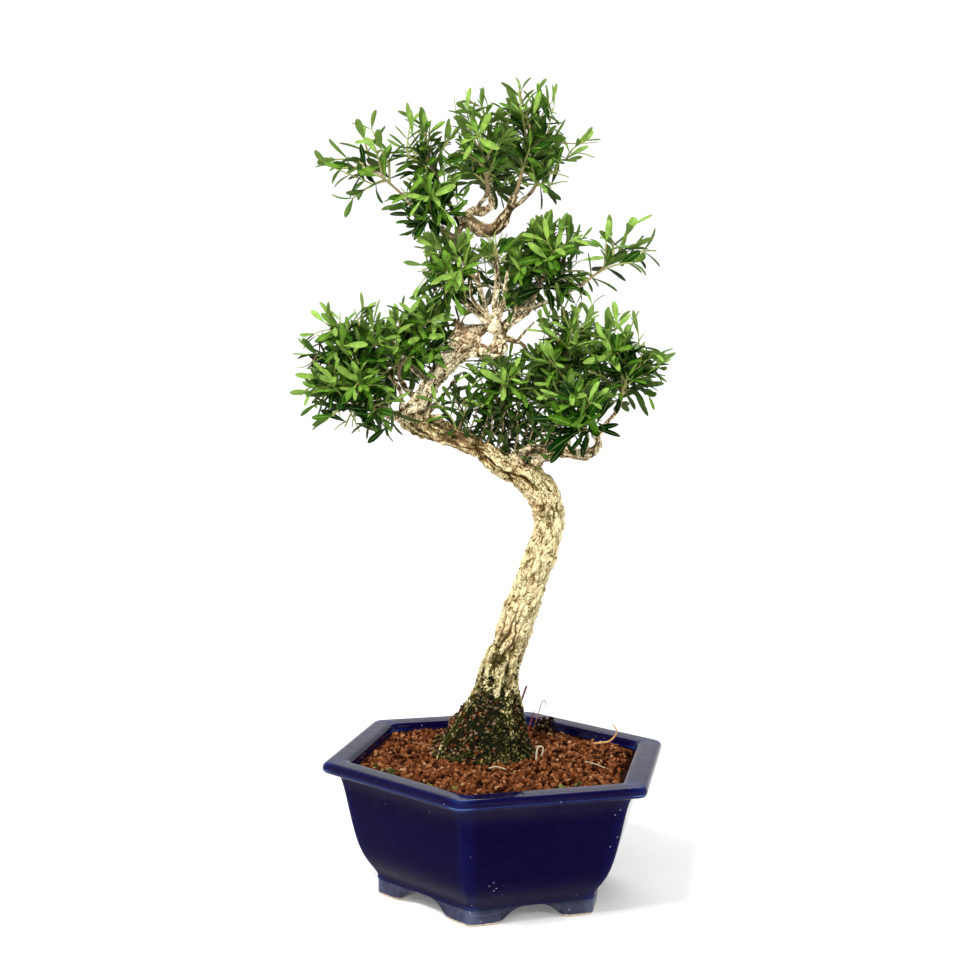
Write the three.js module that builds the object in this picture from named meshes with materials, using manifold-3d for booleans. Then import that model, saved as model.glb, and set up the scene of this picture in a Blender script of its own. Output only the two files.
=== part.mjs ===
// Boxwood bonsai standing in its hexagonal glazed pot.
// Units are millimetres, +Z is up and the front of the tree faces -Y.
// All sizes are laid out about the pot's upright axis, with height 0 under the pot's feet.
// At the end the group is moved so that its origin is the middle of its box's underside.

import * as THREE from 'three';
import { mergeVertices } from 'three/addons/utils/BufferGeometryUtils.js';
import Module from 'manifold-3d';

const wasm = await Module();
wasm.setup();

const { degToRad, lerp, smoothstep } = THREE.MathUtils;

// Clearances
const GAP = 0.3; // between pieces that touch on the real plant
const CUT_GAP = 0.35; // a limb's clearance round the limb that it grows from
const LIMB_MARGIN = 1; // twigs and leaves keep this far from every limb and from other stems

// Pot
const POT_SIDES = 6;
const POT_TURN = degToRad(-100.85); // direction of the front corner, a little left of the front
const CORNER_STEP = (2 * Math.PI) / POT_SIDES;
const RIM_HEIGHT = 74.8;
const BASE_HEIGHT = 8.6; // underside of the pot's floor
const FLOOR_HEIGHT = 16; // top of the pot's floor
const DRAIN_RADIUS = 9;
const OUTSIDE_ROUNDING = 6;
const INSIDE_ROUNDING = 8;
// Height and corner radius of the pot's outside, from its underside up to the lip.
const POT_OUTSIDE = [
  [BASE_HEIGHT, 67],
  [9.8, 68.6],
  [12.5, 68.8],
  [18, 73.4],
  [27, 78.8],
  [40, 83],
  [56, 86.9],
  [65, 89.8],
  [68.4, 93],
  [69.6, 98],
  [71.8, 99.8],
  [73.8, 99.6],
  [RIM_HEIGHT, 97.8],
];
// Height and corner radius of the pot's inside, from the rim down to its floor.
const POT_INSIDE = [
  [RIM_HEIGHT, 86],
  [73.6, 84.4],
  [66, 82.2],
  [54, 78.5],
  [40, 75],
  [27, 70.5],
  [18.5, 64.5],
  [FLOOR_HEIGHT, 60],
];

// Feet, one under each corner of the pot
const FOOT_RADIUS = 67.8;
const FOOT_WALL = 11;
const FOOT_HEIGHT = BASE_HEIGHT - GAP;
const FOOT_FLAT = 10; // half width of the flat that the foot stands on, along each side
const FOOT_TOP = 29; // half width of the foot where it meets the pot
const ARCH_STEPS = 6;

// Soil
const SOIL_EDGE_HEIGHT = 69.8;
const GROUND = 73; // level of the soil round the trunk, where the trunk is cut flat
const SOIL_INSET = 0.5;
const SOIL_EXTRA = 2; // points added along each side of the soil's outline
const SOIL_FLAT = 30.5; // radius of the level round that the mound stands on
// Heights of the soil's top, at shares of the way from the level round out to the wall.
const SOIL_TOP = [
  [70.8, 0.84],
  [71.7, 0.66],
  [72.3, 0.48],
  [72.6, 0.28],
  [GROUND - GAP, 0],
];
// Clods of soil: lowest and highest rise, and the share past which they have their full rise.
const CLOD_RISE = [-0.7, 1.5];
const CLOD_FULL = 0.4;
const CLOD_SEED = 5;

// Moss over the roots
const MOSS_SIDES = 18;
const MOSS_BASE = GROUND + 0.1;
// Height, centre and radius of the moss mound round the foot of the trunk.
const MOSS_RINGS = [
  { z: MOSS_BASE, x: -9, y: 8, r: 28 },
  { z: 79, x: -8, y: 8, r: 25.5 },
  { z: 86, x: -6.5, y: 8, r: 22.5 },
  { z: 94, x: -5.5, y: 8, r: 18.8 },
  { z: 101, x: -4, y: 8, r: 16.6 },
  { z: 107, x: -2.4, y: 8, r: 13.8 },
];

// Trunk: one [x, y, z, radius] for each station from the cut at the soil to the fork.
const TRUNK_SIDES = 14;
const TRUNK_ROUTE = [
  [-9, 8, GROUND, 23.5],
  [-8, 8, 80, 20],
  [-6, 8, 92, 15],
  [-3, 8, 105, 11.8],
  [0, 7.5, 120, 10.4],
  [8, 6.2, 147, 9.6],
  [17, 3.7, 173, 8.9],
  [24.2, 1.2, 200, 8.2],
  [21.6, 0, 216, 9.2],
  [13.7, 0, 226, 8.8],
  [-3, 0, 235, 6.9],
  [-17, 0, 243, 5.9],
  [-38, 0, 251, 6.6],
  [-51.5, 0, 257, 6.4],
  [-55, 0, 260, 3.8],
];
const ROOT_RIDGES = 5;
const ROOT_RIDGE_DEPTH = 0.13; // of the radius at the cut
const ROOT_RIDGE_FADE = 16; // height over which the root ridges fade into the trunk
const FLUTE_DEPTH = 0.04; // of the radius, all the way up
const LEVEL_HEIGHT = 100; // below it the trunk's rings lie level, as its cut does

// Limbs: route from inside the limb that carries it to its tip, radii at both ends.
const LIMBS = [
  {
    name: 'upper_trunk',
    route: [[-51, 0, 257], [-46, 2, 268], [-40, 4, 279], [-32, 4, 289.5], [-25, 3, 297.5], [-20, 2, 306]],
    radii: [5.6, 5.2, 4.9, 5.4, 7, 4],
    sides: 9,
    cutBy: ['trunk'],
  },
  {
    name: 'left_bough',
    route: [[-52, 0, 257.5], [-58, 0, 258.4], [-64, -3, 260], [-70, -6, 262.5], [-75, -8, 265.5]],
    radii: [3.6, 1.4],
    sides: 6,
    cutBy: ['trunk', 'upper_trunk'],
  },
  {
    name: 'left_top_bough',
    route: [[-64, -3, 260.2], [-70, 1, 268], [-75, 3, 276]],
    radii: [1.9, 1.2],
    sides: 6,
    cutBy: ['left_bough'],
  },
  {
    name: 'left_inner_bough',
    route: [[-46.5, 2.5, 268], [-54, 6, 272], [-59, 8, 279]],
    radii: [2.2, 1.3],
    sides: 6,
    cutBy: ['upper_trunk'],
  },
  {
    name: 'left_back_bough',
    route: [[-41, 4, 277], [-47, 16, 281], [-54, 27, 286]],
    radii: [2.2, 1.3],
    sides: 6,
    cutBy: ['upper_trunk'],
  },
  {
    name: 'hook_limb',
    route: [
      [-23, 1, 296], [-15, 0, 294.6], [-9.7, 0, 294.2], [-4.4, 0, 295.4],
      [-3.7, 0, 299.5], [-4.4, 0, 304], [-5, 0, 308.6],
    ],
    radii: [3.2, 2.2],
    sides: 6,
    cutBy: ['upper_trunk'],
  },
  {
    name: 'leader',
    route: [
      [-5, 0, 307.5], [-10, 2, 310.5], [-16.8, 4, 316.5], [-23.5, 6, 322.5], [-26.6, 6, 331],
      [-28, 5, 342], [-29, 4, 352], [-28, 2.5, 360], [-24, 1, 366.5],
    ],
    radii: [2.5, 1.9],
    sides: 6,
    cutBy: ['hook_limb'],
  },
  {
    name: 'strand_limb',
    route: [[-23, 2, 302], [-19, 2.5, 305.6], [-14, 3, 307.2], [-9, 2, 308.8]],
    radii: [2.6, 1.9],
    sides: 6,
    cutBy: ['upper_trunk', 'hook_limb', 'leader'],
  },
  {
    name: 'centre_shoot',
    route: [[-7, 0.5, 309.5], [-8, -4, 320], [-7.2, -5, 332], [-6.9, -4, 340]],
    radii: [1.6, 1.1],
    sides: 6,
    cutBy: ['hook_limb', 'leader'],
  },
  {
    name: 'brown_shoot',
    route: [[-11.5, 2, 311.5], [-12.6, -1, 319], [-15, -3, 326], [-18.6, -5, 334]],
    radii: [1.3, 1],
    sides: 6,
    cutBy: ['leader'],
  },
  {
    name: 'right_upper_bough',
    route: [[-4, 0, 306.6], [-0.5, 0.5, 310.5], [4.5, 2, 316], [11, 4, 322.5]],
    radii: [2.5, 1.7],
    sides: 6,
    cutBy: ['hook_limb', 'leader'],
  },
  {
    name: 'spray_bough',
    route: [[6, 2.5, 317.6], [16, 1, 320.5], [28, -1, 325.5], [38, -2, 331.5]],
    radii: [1.3, 1],
    sides: 6,
    cutBy: ['right_upper_bough'],
  },
  {
    name: 'middle_back_bough',
    route: [[-17, 4, 316.6], [-15, 13, 319], [-11, 24, 325]],
    radii: [1.7, 1.2],
    sides: 6,
    cutBy: ['leader'],
  },
  {
    name: 'apex_left_bough',
    route: [[-28.6, 3.5, 355], [-38, 0, 361], [-49, -3, 368], [-58, -5, 377]],
    radii: [1.6, 1.1],
    sides: 6,
    cutBy: ['leader'],
  },
  {
    name: 'apex_low_bough',
    route: [[-28.8, 4, 350], [-34, 8, 355], [-38, 10, 361]],
    radii: [1.5, 1.1],
    sides: 6,
    cutBy: ['leader'],
  },
  {
    name: 'apex_shoulder_bough',
    route: [[-26.4, 2, 362.6], [-31, 4, 371], [-37, 6, 380]],
    radii: [1.7, 1.2],
    sides: 6,
    cutBy: ['leader'],
  },
  {
    name: 'apex_lower_bough',
    route: [
      [-24.6, 1, 365.4], [-19.3, 0, 362], [-13.8, 0, 359.8], [-8.4, 0, 361],
      [-4.4, 0, 366], [-0.6, 0, 372], [2, 0, 379],
    ],
    radii: [2.7, 1.9],
    sides: 6,
    cutBy: ['leader'],
  },
  {
    name: 'apex_upper_bough',
    route: [[-24, 1, 366], [-21.5, 3, 370.6], [-15.5, 3.5, 371], [-10.5, 3.5, 374], [-12, 3, 380]],
    radii: [2.1, 1.5],
    sides: 6,
    cutBy: ['leader', 'apex_lower_bough'],
  },
  {
    name: 'apex_right_bough',
    route: [[-0.4, 0, 372.4], [5, 4, 376], [10, 6, 381]],
    radii: [1.6, 1.1],
    sides: 6,
    cutBy: ['apex_lower_bough'],
  },
  {
    name: 'apex_back_bough',
    route: [[-20, 3, 370.8], [-18, 12, 374.5], [-15, 20, 380]],
    radii: [1.5, 1.1],
    sides: 6,
    cutBy: ['apex_upper_bough', 'leader', 'apex_lower_bough'],
  },
  {
    name: 'right_lower_bough',
    route: [
      [14, -1, 231], [20, -3, 238.5], [29.5, -5, 241.5],
      [36, -8, 241.2], [41.8, -10, 240.5], [46.4, -12, 242],
    ],
    radii: [3.4, 2.3],
    sides: 7,
    cutBy: ['trunk'],
  },
  {
    name: 'right_tip_bough',
    route: [[46, -12, 241.6], [49.6, -12, 246], [49, -12, 251], [53, -14, 257], [58, -15, 263]],
    radii: [2.1, 1],
    sides: 6,
    cutBy: ['right_lower_bough'],
  },
  {
    name: 'right_middle_bough',
    route: [[33, -6.6, 241.4], [34, -4, 249], [35, -2, 255]],
    radii: [1.7, 1.2],
    sides: 6,
    cutBy: ['right_lower_bough'],
  },
  {
    name: 'right_front_bough',
    route: [[40, -9.4, 240.8], [42, -18, 244], [43, -25, 248]],
    radii: [1.6, 1.2],
    sides: 6,
    cutBy: ['right_lower_bough'],
  },
  {
    name: 'right_inner_bough',
    route: [[3, 1.5, 232], [1, 5, 243], [-1, 8, 252]],
    radii: [1.9, 1.3],
    sides: 6,
    cutBy: ['trunk'],
  },
  {
    name: 'right_back_bough',
    route: [[14, 2, 226], [19, 14, 236], [26, 25, 247]],
    radii: [2.2, 1.4],
    sides: 6,
    cutBy: ['trunk'],
  },
];
const LIMB_STEPS = 2; // rings in each span of a limb's route
const limbByName = new Map(LIMBS.map((limb) => [limb.name, limb]));

// Masses of foliage: the space of each is an ellipsoid, which may be tilted in the front view.
const MASSES = [
  {
    name: 'apex_crown',
    from: 'apex_lower_bough',
    centre: [9, -3, 416],
    reach: [26, 27, 30],
    twigs: 8,
    seed: 70,
  },
  {
    name: 'apex_right',
    from: 'apex_right_bough',
    centre: [16, 8, 394],
    reach: [24, 24, 23],
    twigs: 7,
    seed: 841,
  },
  {
    name: 'apex_middle',
    from: 'apex_upper_bough',
    centre: [-17, -8, 406],
    reach: [22, 24, 29],
    twigs: 7,
    seed: 1401,
  },
  {
    name: 'apex_shoulder',
    from: 'apex_shoulder_bough',
    centre: [-47, 6, 403],
    reach: [24, 25, 26],
    twigs: 7,
    seed: 143,
  },
  {
    name: 'apex_low',
    from: 'apex_low_bough',
    centre: [-44, -2, 373],
    reach: [28, 27, 22],
    twigs: 7,
    seed: 165,
  },
  {
    name: 'apex_spray',
    from: 'apex_left_bough',
    centre: [-79, -6, 393],
    reach: [28, 24, 30],
    twigs: 8,
    seed: 1033,
  },
  {
    name: 'apex_back',
    from: 'apex_back_bough',
    centre: [-13, 38, 403],
    reach: [30, 25, 29],
    twigs: 7,
    seed: 1223,
  },
  {
    name: 'middle_left',
    from: 'brown_shoot',
    centre: [-35, 0, 338],
    reach: [26, 27, 30],
    twigs: 8,
    seed: 70,
  },
  {
    name: 'middle_right',
    from: 'right_upper_bough',
    centre: [21, 2, 344],
    reach: [31, 30, 29],
    twigs: 9,
    seed: 1379,
  },
  {
    name: 'middle_centre',
    from: 'centre_shoot',
    centre: [-7, -8, 349],
    reach: [18, 20, 20],
    twigs: 5,
    seed: 1275,
  },
  {
    name: 'middle_spray',
    from: 'spray_bough',
    centre: [60, -1, 350],
    reach: [33, 24, 23],
    tilt: 30,
    twigs: 7,
    seed: 1115,
  },
  {
    name: 'middle_back',
    from: 'middle_back_bough',
    centre: [-3, 42, 340],
    reach: [30, 25, 28],
    twigs: 7,
    seed: 172,
  },
  {
    name: 'left_top',
    from: 'left_top_bough',
    centre: [-85, -4, 297],
    reach: [30, 29, 29],
    twigs: 8,
    seed: 1208,
  },
  {
    name: 'left_low',
    from: 'left_bough',
    centre: [-83, -12, 268],
    reach: [34, 30, 27],
    twigs: 8,
    seed: 1118,
  },
  {
    name: 'left_inner',
    from: 'left_inner_bough',
    centre: [-48, 8, 302],
    reach: [27, 28, 29],
    twigs: 8,
    seed: 1189,
  },
  {
    name: 'left_back',
    from: 'left_back_bough',
    centre: [-70, 42, 288],
    reach: [31, 25, 29],
    twigs: 7,
    seed: 71,
  },
  {
    name: 'right_outer',
    from: 'right_tip_bough',
    centre: [61, -10, 288],
    reach: [29, 31, 36],
    twigs: 9,
    seed: 1408,
  },
  {
    name: 'right_middle',
    from: 'right_middle_bough',
    centre: [31, 4, 292],
    reach: [26, 30, 34],
    twigs: 8,
    seed: 1164,
  },
  {
    name: 'right_inner',
    from: 'right_inner_bough',
    centre: [-2, 10, 274],
    reach: [31, 30, 30],
    twigs: 7,
    seed: 1214,
  },
  {
    name: 'right_back',
    from: 'right_back_bough',
    centre: [30, 44, 281],
    reach: [35, 25, 31],
    twigs: 7,
    seed: 264,
  },
  {
    name: 'right_front',
    from: 'right_front_bough',
    centre: [37, -38, 262],
    reach: [26, 23, 22],
    twigs: 6,
    seed: 27,
  },
];

// Growth of a mass
const GOLDEN_ANGLE = Math.PI * (3 - Math.sqrt(5));
const STEM_RADII = [1.2, 0.9];
const STEM_BEND = 0.3; // how far the stem keeps to its bough's direction, as a share of its length
const TWIG_RADII = [0.8, 0.5];
const TWIG_SIDES = 3;
const TWIG_SPAN = 2; // length of stem that a twig grows from
const FIRST_TWIG = 0.35; // share of the stem below its first twig
const LOWEST_TWIG = -0.85; // height of the lowest twig's direction on a unit ball
const TWIG_LIFT = 0.15; // how far a twig bows upward, as a share of its length
const TWIG_CLEAR = 4; // length at a twig's foot that may touch the stem
const TIP_ROOM = 17; // from the tip of a twig to the surface of the space
const REACH_TRIES = [1, 0.8, 0.6]; // a twig that doesn't fit is tried again shorter
const PAIR_SPACING = 7;
const PAIR_SPAN = 1.4; // length of twig that a pair of leaves grows from
const FIRST_PAIR = 4; // from the twig's foot
const SPACE_LIMIT = 1.04; // leaf tips may stand this far out, where 1 is the space's surface
const SPACE_MARGIN = 0.015; // kept from the neighbour's space, in units of the space's reach
const SEED_STEP = 7919; // from one twig's seed to the next

// Leaf: a keeled blade, widest beyond its middle
const LEAF = { length: 18, width: 6, thickness: 0.9, widest: 0.6 };
const LEAF_OPENING = { foot: degToRad(60), tip: degToRad(40) };
const LEAF_TRIES = [1, 0.7, 1.3, 0.4, 1.6]; // shares of its opening that a leaf is tried at
const LEAF_JITTER = 0.15; // how far its opening strays from the rule, as a share
const LEAF_CLEAR = 0.1; // share of a leaf's length beside its twig, where it may touch

// Looks
const FINISH = {
  glaze: { color: 0x16184f, roughness: 0.15 },
  soil: { color: 0x7b4a35, roughness: 0.95 },
  moss: { color: 0x3f4526, roughness: 1 },
  bark: { color: 0xc9b88c, roughness: 0.9 },
  leaf: { color: 0x3e7a24, roughness: 0.4 },
};

// Solids from vertices and faces

function solidOf(vertices, faces) {
  const vertProperties = Float32Array.from(vertices);
  const triVerts = Uint32Array.from(faces);
  return new wasm.Manifold(new wasm.Mesh({ numProp: 3, vertProperties, triVerts }));
}

// Joins equal rings of points, lowest first, into a closed skin.
// A capped skin ends in flat caps, and an uncapped one closes its last ring onto its first.
function loft(rings, capped = true) {
  const count = rings[0].length;
  const vertices = rings.flat().flatMap((p) => [p.x, p.y, p.z]);
  const faces = [];
  const spans = capped ? rings.length - 1 : rings.length;
  for (let i = 0; i < spans; i += 1) {
    const low = i * count;
    const high = ((i + 1) % rings.length) * count;
    for (let j = 0; j < count; j += 1) {
      const k = (j + 1) % count;
      faces.push(low + j, low + k, high + k, low + j, high + k, high + j);
    }
  }
  if (!capped) {
    return solidOf(vertices, faces);
  }
  const top = (rings.length - 1) * count;
  if (count === TWIG_SIDES) {
    faces.push(0, 2, 1, top, top + 1, top + 2);
    return solidOf(vertices, faces);
  }
  [rings[0], rings[rings.length - 1]].forEach((ring, end) => {
    const middle = ring.reduce((sum, p) => sum.add(p), new THREE.Vector3()).divideScalar(count);
    const centre = vertices.length / 3;
    vertices.push(middle.x, middle.y, middle.z);
    const start = end * top;
    for (let j = 0; j < count; j += 1) {
      const k = (j + 1) % count;
      faces.push(centre, start + (end ? j : k), start + (end ? k : j));
    }
  });
  return solidOf(vertices, faces);
}

// Rings about a path, each turned as little as possible from the one before.
function ringsAlong(stations, sides, relief = () => 0) {
  const side = new THREE.Vector3(1, 0, 0);
  return stations.map(({ centre, tangent, radius }, i) => {
    if (i === 0 && Math.abs(tangent.x) > 0.9) {
      side.set(0, 1, 0);
    }
    side.addScaledVector(tangent, -side.dot(tangent)).normalize();
    const up = new THREE.Vector3().crossVectors(tangent, side);
    return Array.from({ length: sides }, (_, j) => {
      const angle = (2 * Math.PI * j) / sides;
      const out = radius * (1 + relief(angle, centre.z));
      const point = centre.clone().addScaledVector(side, out * Math.cos(angle));
      return point.addScaledVector(up, out * Math.sin(angle));
    });
  });
}

// Centre, direction and radius at even steps along a limb's smooth route.
function limbStations(route, radii, extra = 0) {
  const points = route.map((p) => new THREE.Vector3(...p));
  const curve = new THREE.CatmullRomCurve3(points, false, 'catmullrom');
  const count = (route.length - 1) * LIMB_STEPS;
  return Array.from({ length: count + 1 }, (_, i) => {
    const along = (i / count) * (radii.length - 1);
    const span = Math.min(Math.floor(along), radii.length - 2);
    return {
      centre: curve.getPoint(i / count),
      tangent: curve.getTangent(i / count),
      radius: lerp(radii[span], radii[span + 1], along - span) + extra,
    };
  });
}

// Pot

// Points of a rounded hexagon: three on each corner's arc.
function hexagonRing(height, cornerRadius, rounding) {
  const arcCentre = cornerRadius - rounding / Math.sin(CORNER_STEP);
  const points = [];
  for (let corner = 0; corner < POT_SIDES; corner += 1) {
    const facing = POT_TURN + corner * CORNER_STEP;
    for (const swing of [-CORNER_STEP / 2, 0, CORNER_STEP / 2]) {
      const x = arcCentre * Math.cos(facing) + rounding * Math.cos(facing + swing);
      const y = arcCentre * Math.sin(facing) + rounding * Math.sin(facing + swing);
      points.push(new THREE.Vector3(x, y, height));
    }
  }
  return points;
}

// Points of a circle, as many as a rounded hexagon has.
function circleRing(height, radius, x = 0, y = 0, count = 3 * POT_SIDES) {
  return Array.from({ length: count }, (_, j) => {
    const angle = POT_TURN + ((j - 1) * 2 * Math.PI) / count;
    return new THREE.Vector3(x + radius * Math.cos(angle), y + radius * Math.sin(angle), height);
  });
}

function makePot() {
  return loft(
    [
      circleRing(BASE_HEIGHT, DRAIN_RADIUS),
      ...POT_OUTSIDE.map(([z, r]) => hexagonRing(z, r, OUTSIDE_ROUNDING)),
      ...POT_INSIDE.map(([z, r]) => hexagonRing(z, r, INSIDE_ROUNDING)),
      circleRing(FLOOR_HEIGHT, DRAIN_RADIUS),
    ],
    false,
  );
}

// A foot under the corner that faces +X: an angled wall between two S-curved arches.
function makeFoot() {
  const along = new THREE.Vector2(-Math.sin(CORNER_STEP / 2), Math.cos(CORNER_STEP / 2));
  const inward = FOOT_WALL / Math.sin(CORNER_STEP);
  const arm = (reach, sign, depth) => {
    const x = FOOT_RADIUS - depth + along.x * reach;
    return [x, sign * along.y * reach];
  };
  const reach = FOOT_TOP + 1;
  const plan = new THREE.Shape([
    new THREE.Vector2(FOOT_RADIUS, 0),
    new THREE.Vector2(...arm(reach, 1, 0)),
    new THREE.Vector2(...arm(reach, 1, inward)),
    new THREE.Vector2(FOOT_RADIUS - inward, 0),
    new THREE.Vector2(...arm(reach, -1, inward)),
    new THREE.Vector2(...arm(reach, -1, 0)),
  ]);
  let foot = extruded(plan, FOOT_HEIGHT);
  const arch = new THREE.Shape([new THREE.Vector2(FOOT_FLAT, -1)]);
  for (let i = 0; i <= ARCH_STEPS; i += 1) {
    const share = i / ARCH_STEPS;
    arch.lineTo(lerp(FOOT_FLAT, FOOT_TOP, share), (FOOT_HEIGHT * (1 - Math.cos(Math.PI * share))) / 2);
  }
  arch.lineTo(FOOT_TOP, FOOT_HEIGHT + 1);
  arch.lineTo(2 * FOOT_TOP, FOOT_HEIGHT + 1);
  arch.lineTo(2 * FOOT_TOP, -1);
  for (const sign of [1, -1]) {
    const across = new THREE.Matrix4().makeBasis(
      new THREE.Vector3(along.x, sign * along.y, 0),
      new THREE.Vector3(0, 0, 1),
      new THREE.Vector3(sign * along.y, -along.x, 0),
    );
    across.setPosition(FOOT_RADIUS, 0, 0);
    foot = foot.subtract(extruded(arch, 4 * FOOT_WALL, -2 * FOOT_WALL, across));
  }
  return foot;
}

// A flat outline pushed out into a solid from a starting depth, then placed by a matrix.
function extruded(shape, depth, start = 0, matrix = new THREE.Matrix4()) {
  const geometry = new THREE.ExtrudeGeometry(shape, { depth, bevelEnabled: false });
  geometry.deleteAttribute('normal');
  geometry.deleteAttribute('uv');
  geometry.translate(0, 0, start);
  geometry.applyMatrix4(matrix);
  const merged = mergeVertices(geometry);
  return solidOf(merged.attributes.position.array, merged.index.array);
}

// Points of a rounded hexagon with more of them along its sides.
function soilOutline(height, cornerRadius) {
  const ring = hexagonRing(height, cornerRadius, INSIDE_ROUNDING);
  return ring.flatMap((point, j) => {
    const next = ring[(j + 1) % ring.length];
    const count = j % 3 === 2 ? SOIL_EXTRA : 0;
    const along = Array.from({ length: count }, (_, k) => point.clone().lerp(next, (k + 1) / (count + 1)));
    return [point, ...along];
  });
}

// Soil that fills the pot, flat under the mound and falling to the walls, with clods on its top.
function makeSoil() {
  const wallRadius = (z) => {
    const upper = POT_INSIDE.findLastIndex(([height]) => height >= z);
    const [highZ, highR] = POT_INSIDE[upper];
    const [lowZ, lowR] = POT_INSIDE[upper + 1];
    return lerp(lowR, highR, (z - lowZ) / (highZ - lowZ)) - SOIL_INSET;
  };
  const heights = POT_INSIDE.map(([z]) => z).filter((z) => z > FLOOR_HEIGHT && z < SOIL_EDGE_HEIGHT);
  const sides = [SOIL_EDGE_HEIGHT, ...heights.filter((_, i) => i % 2), FLOOR_HEIGHT + GAP].reverse();
  const edge = soilOutline(SOIL_EDGE_HEIGHT, wallRadius(SOIL_EDGE_HEIGHT));
  const random = seededRandom(CLOD_SEED);
  const { x, y } = MOSS_RINGS[0];
  const level = edge.map((point) => {
    const facing = Math.atan2(point.y, point.x);
    return new THREE.Vector3(x + SOIL_FLAT * Math.cos(facing), y + SOIL_FLAT * Math.sin(facing), 0);
  });
  const tops = SOIL_TOP.map(([z, share]) =>
    edge.map((point, j) => {
      const top = level[j].clone().lerp(point, share);
      return top.setZ(z + smoothstep(share, 0, CLOD_FULL) * lerp(...CLOD_RISE, random()));
    }),
  );
  return loft([...sides.map((z) => soilOutline(z, wallRadius(z))), ...tops]);
}

// Trunk, limbs and moss

const rootRelief = (angle, height) => {
  const fade = Math.exp(-(height - GROUND) / ROOT_RIDGE_FADE);
  return ROOT_RIDGE_DEPTH * fade * Math.cos(ROOT_RIDGES * angle) + FLUTE_DEPTH * Math.cos(3 * angle + 1);
};

function trunkStations(extra = 0) {
  const route = TRUNK_ROUTE.map(([x, y, z]) => [x, y, z]);
  const radii = TRUNK_ROUTE.map(([, , , r]) => r);
  const stations = limbStations(route, radii, extra);
  const level = stations.filter(({ centre }) => centre.z < LEVEL_HEIGHT);
  level.forEach(({ tangent }) => tangent.set(0, 0, 1));
  return stations;
}

const makeTrunk = (extra = 0) => loft(ringsAlong(trunkStations(extra), TRUNK_SIDES, rootRelief));

const makeLimb = ({ route, radii, sides }, extra = 0) =>
  loft(ringsAlong(limbStations(route, radii, extra), sides));

function makeMoss() {
  const mound = loft(MOSS_RINGS.map(({ z, x, y, r }) => circleRing(z, r, x, y, MOSS_SIDES)));
  return mound.subtract(makeTrunk(GAP));
}

// Foliage

// Even random numbers from 0 to 1 that depend only on the seed.
function seededRandom(seed) {
  let state = seed >>> 0;
  return () => {
    state = (state + 0x6d2b79f5) >>> 0;
    let mixed = Math.imul(state ^ (state >>> 15), state | 1);
    mixed ^= mixed + Math.imul(mixed ^ (mixed >>> 7), mixed | 61);
    return ((mixed ^ (mixed >>> 14)) >>> 0) / 4294967296;
  };
}

// Distance of a point from the middle of a mass's space, where 1 is the space's surface.
function spaceDistance({ centre, reach, tilt = 0 }, point) {
  const angle = degToRad(tilt);
  const dx = point.x - centre[0];
  const dz = point.z - centre[2];
  const across = dx * Math.cos(angle) + dz * Math.sin(angle);
  const rise = dz * Math.cos(angle) - dx * Math.sin(angle);
  return Math.hypot(across / reach[0], (point.y - centre[1]) / reach[1], rise / reach[2]);
}

// Point of a mass's space that lies a given share of the way out in a unit direction.
function spacePoint({ centre, reach, tilt = 0 }, direction, room) {
  const radius = 1 / Math.hypot(direction.x / reach[0], direction.y / reach[1], direction.z / reach[2]);
  const offset = direction.clone().multiplyScalar(Math.max(radius - room, 0));
  offset.applyAxisAngle(new THREE.Vector3(0, -1, 0), degToRad(tilt));
  return offset.add(new THREE.Vector3(...centre));
}

function inOwnSpace(mass, point) {
  const own = spaceDistance(mass, point);
  const others = MASSES.filter((other) => other !== mass);
  return own <= SPACE_LIMIT && others.every((other) => spaceDistance(other, point) > own + SPACE_MARGIN);
}

// The corners of a leaf: edges and keel at its widest, and its tip.
function leafCorners(foot, direction, facing) {
  const edge = new THREE.Vector3().crossVectors(direction, facing).normalize();
  const under = new THREE.Vector3().crossVectors(direction, edge).negate();
  const middle = foot.clone().addScaledVector(direction, LEAF.length * LEAF.widest);
  return {
    foot,
    middle,
    around: [
      middle.clone().addScaledVector(edge, LEAF.width / 2),
      middle.clone().addScaledVector(under, -LEAF.thickness),
      middle.clone().addScaledVector(edge, -LEAF.width / 2),
    ],
    tip: foot.clone().addScaledVector(direction, LEAF.length),
    direction,
  };
}

// The leaf beyond its foot as a solid of its own, to test whether it crosses another.
function leafSolid({ foot, around, tip }) {
  const start = foot.clone().lerp(tip, LEAF_CLEAR);
  const vertices = [start, ...around, tip].flatMap((p) => [p.x, p.y, p.z]);
  return solidOf(vertices, [0, 2, 1, 0, 3, 2, 0, 1, 3, 4, 1, 2, 4, 2, 3, 4, 3, 1]);
}

// A shoot's bow from its foot to its tip, lifted in the middle.
function bow(foot, tip) {
  const control = foot.clone().lerp(tip, 0.5);
  control.z += TWIG_LIFT * foot.distanceTo(tip);
  return new THREE.QuadraticBezierCurve3(foot, control, tip);
}

const isApart = (one, other) => one.intersect(other).isEmpty();

function isNear(solid, point, distance) {
  const { min, max } = solid.boundingBox();
  const box = new THREE.Box3(new THREE.Vector3(...min), new THREE.Vector3(...max));
  return box.distanceToPoint(point) < distance;
}

const shootStations = (curve, radii, shares) =>
  shares.map((share) => ({
    centre: curve.getPoint(share),
    tangent: curve.getTangent(share),
    radius: lerp(radii[0], radii[1], share),
  }));

// The stem of a mass goes on from its bough's tip to the middle of its space.
function stemCurve({ from, centre }) {
  const bough = limbByName.get(from);
  const tip = limbStations(bough.route, bough.radii).at(-1);
  const end = new THREE.Vector3(...centre);
  const root = tip.centre.clone().addScaledVector(tip.tangent, GAP);
  const bend = root.clone().addScaledVector(tip.tangent, root.distanceTo(end) * STEM_BEND);
  return new THREE.QuadraticBezierCurve3(root, bend, end);
}

function roundStem(mass) {
  const radii = STEM_RADII.map((radius) => radius + GAP);
  return loft(ringsAlong(shootStations(stemCurve(mass), radii, [0, 0.5, 1]), TWIG_SIDES));
}

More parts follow.
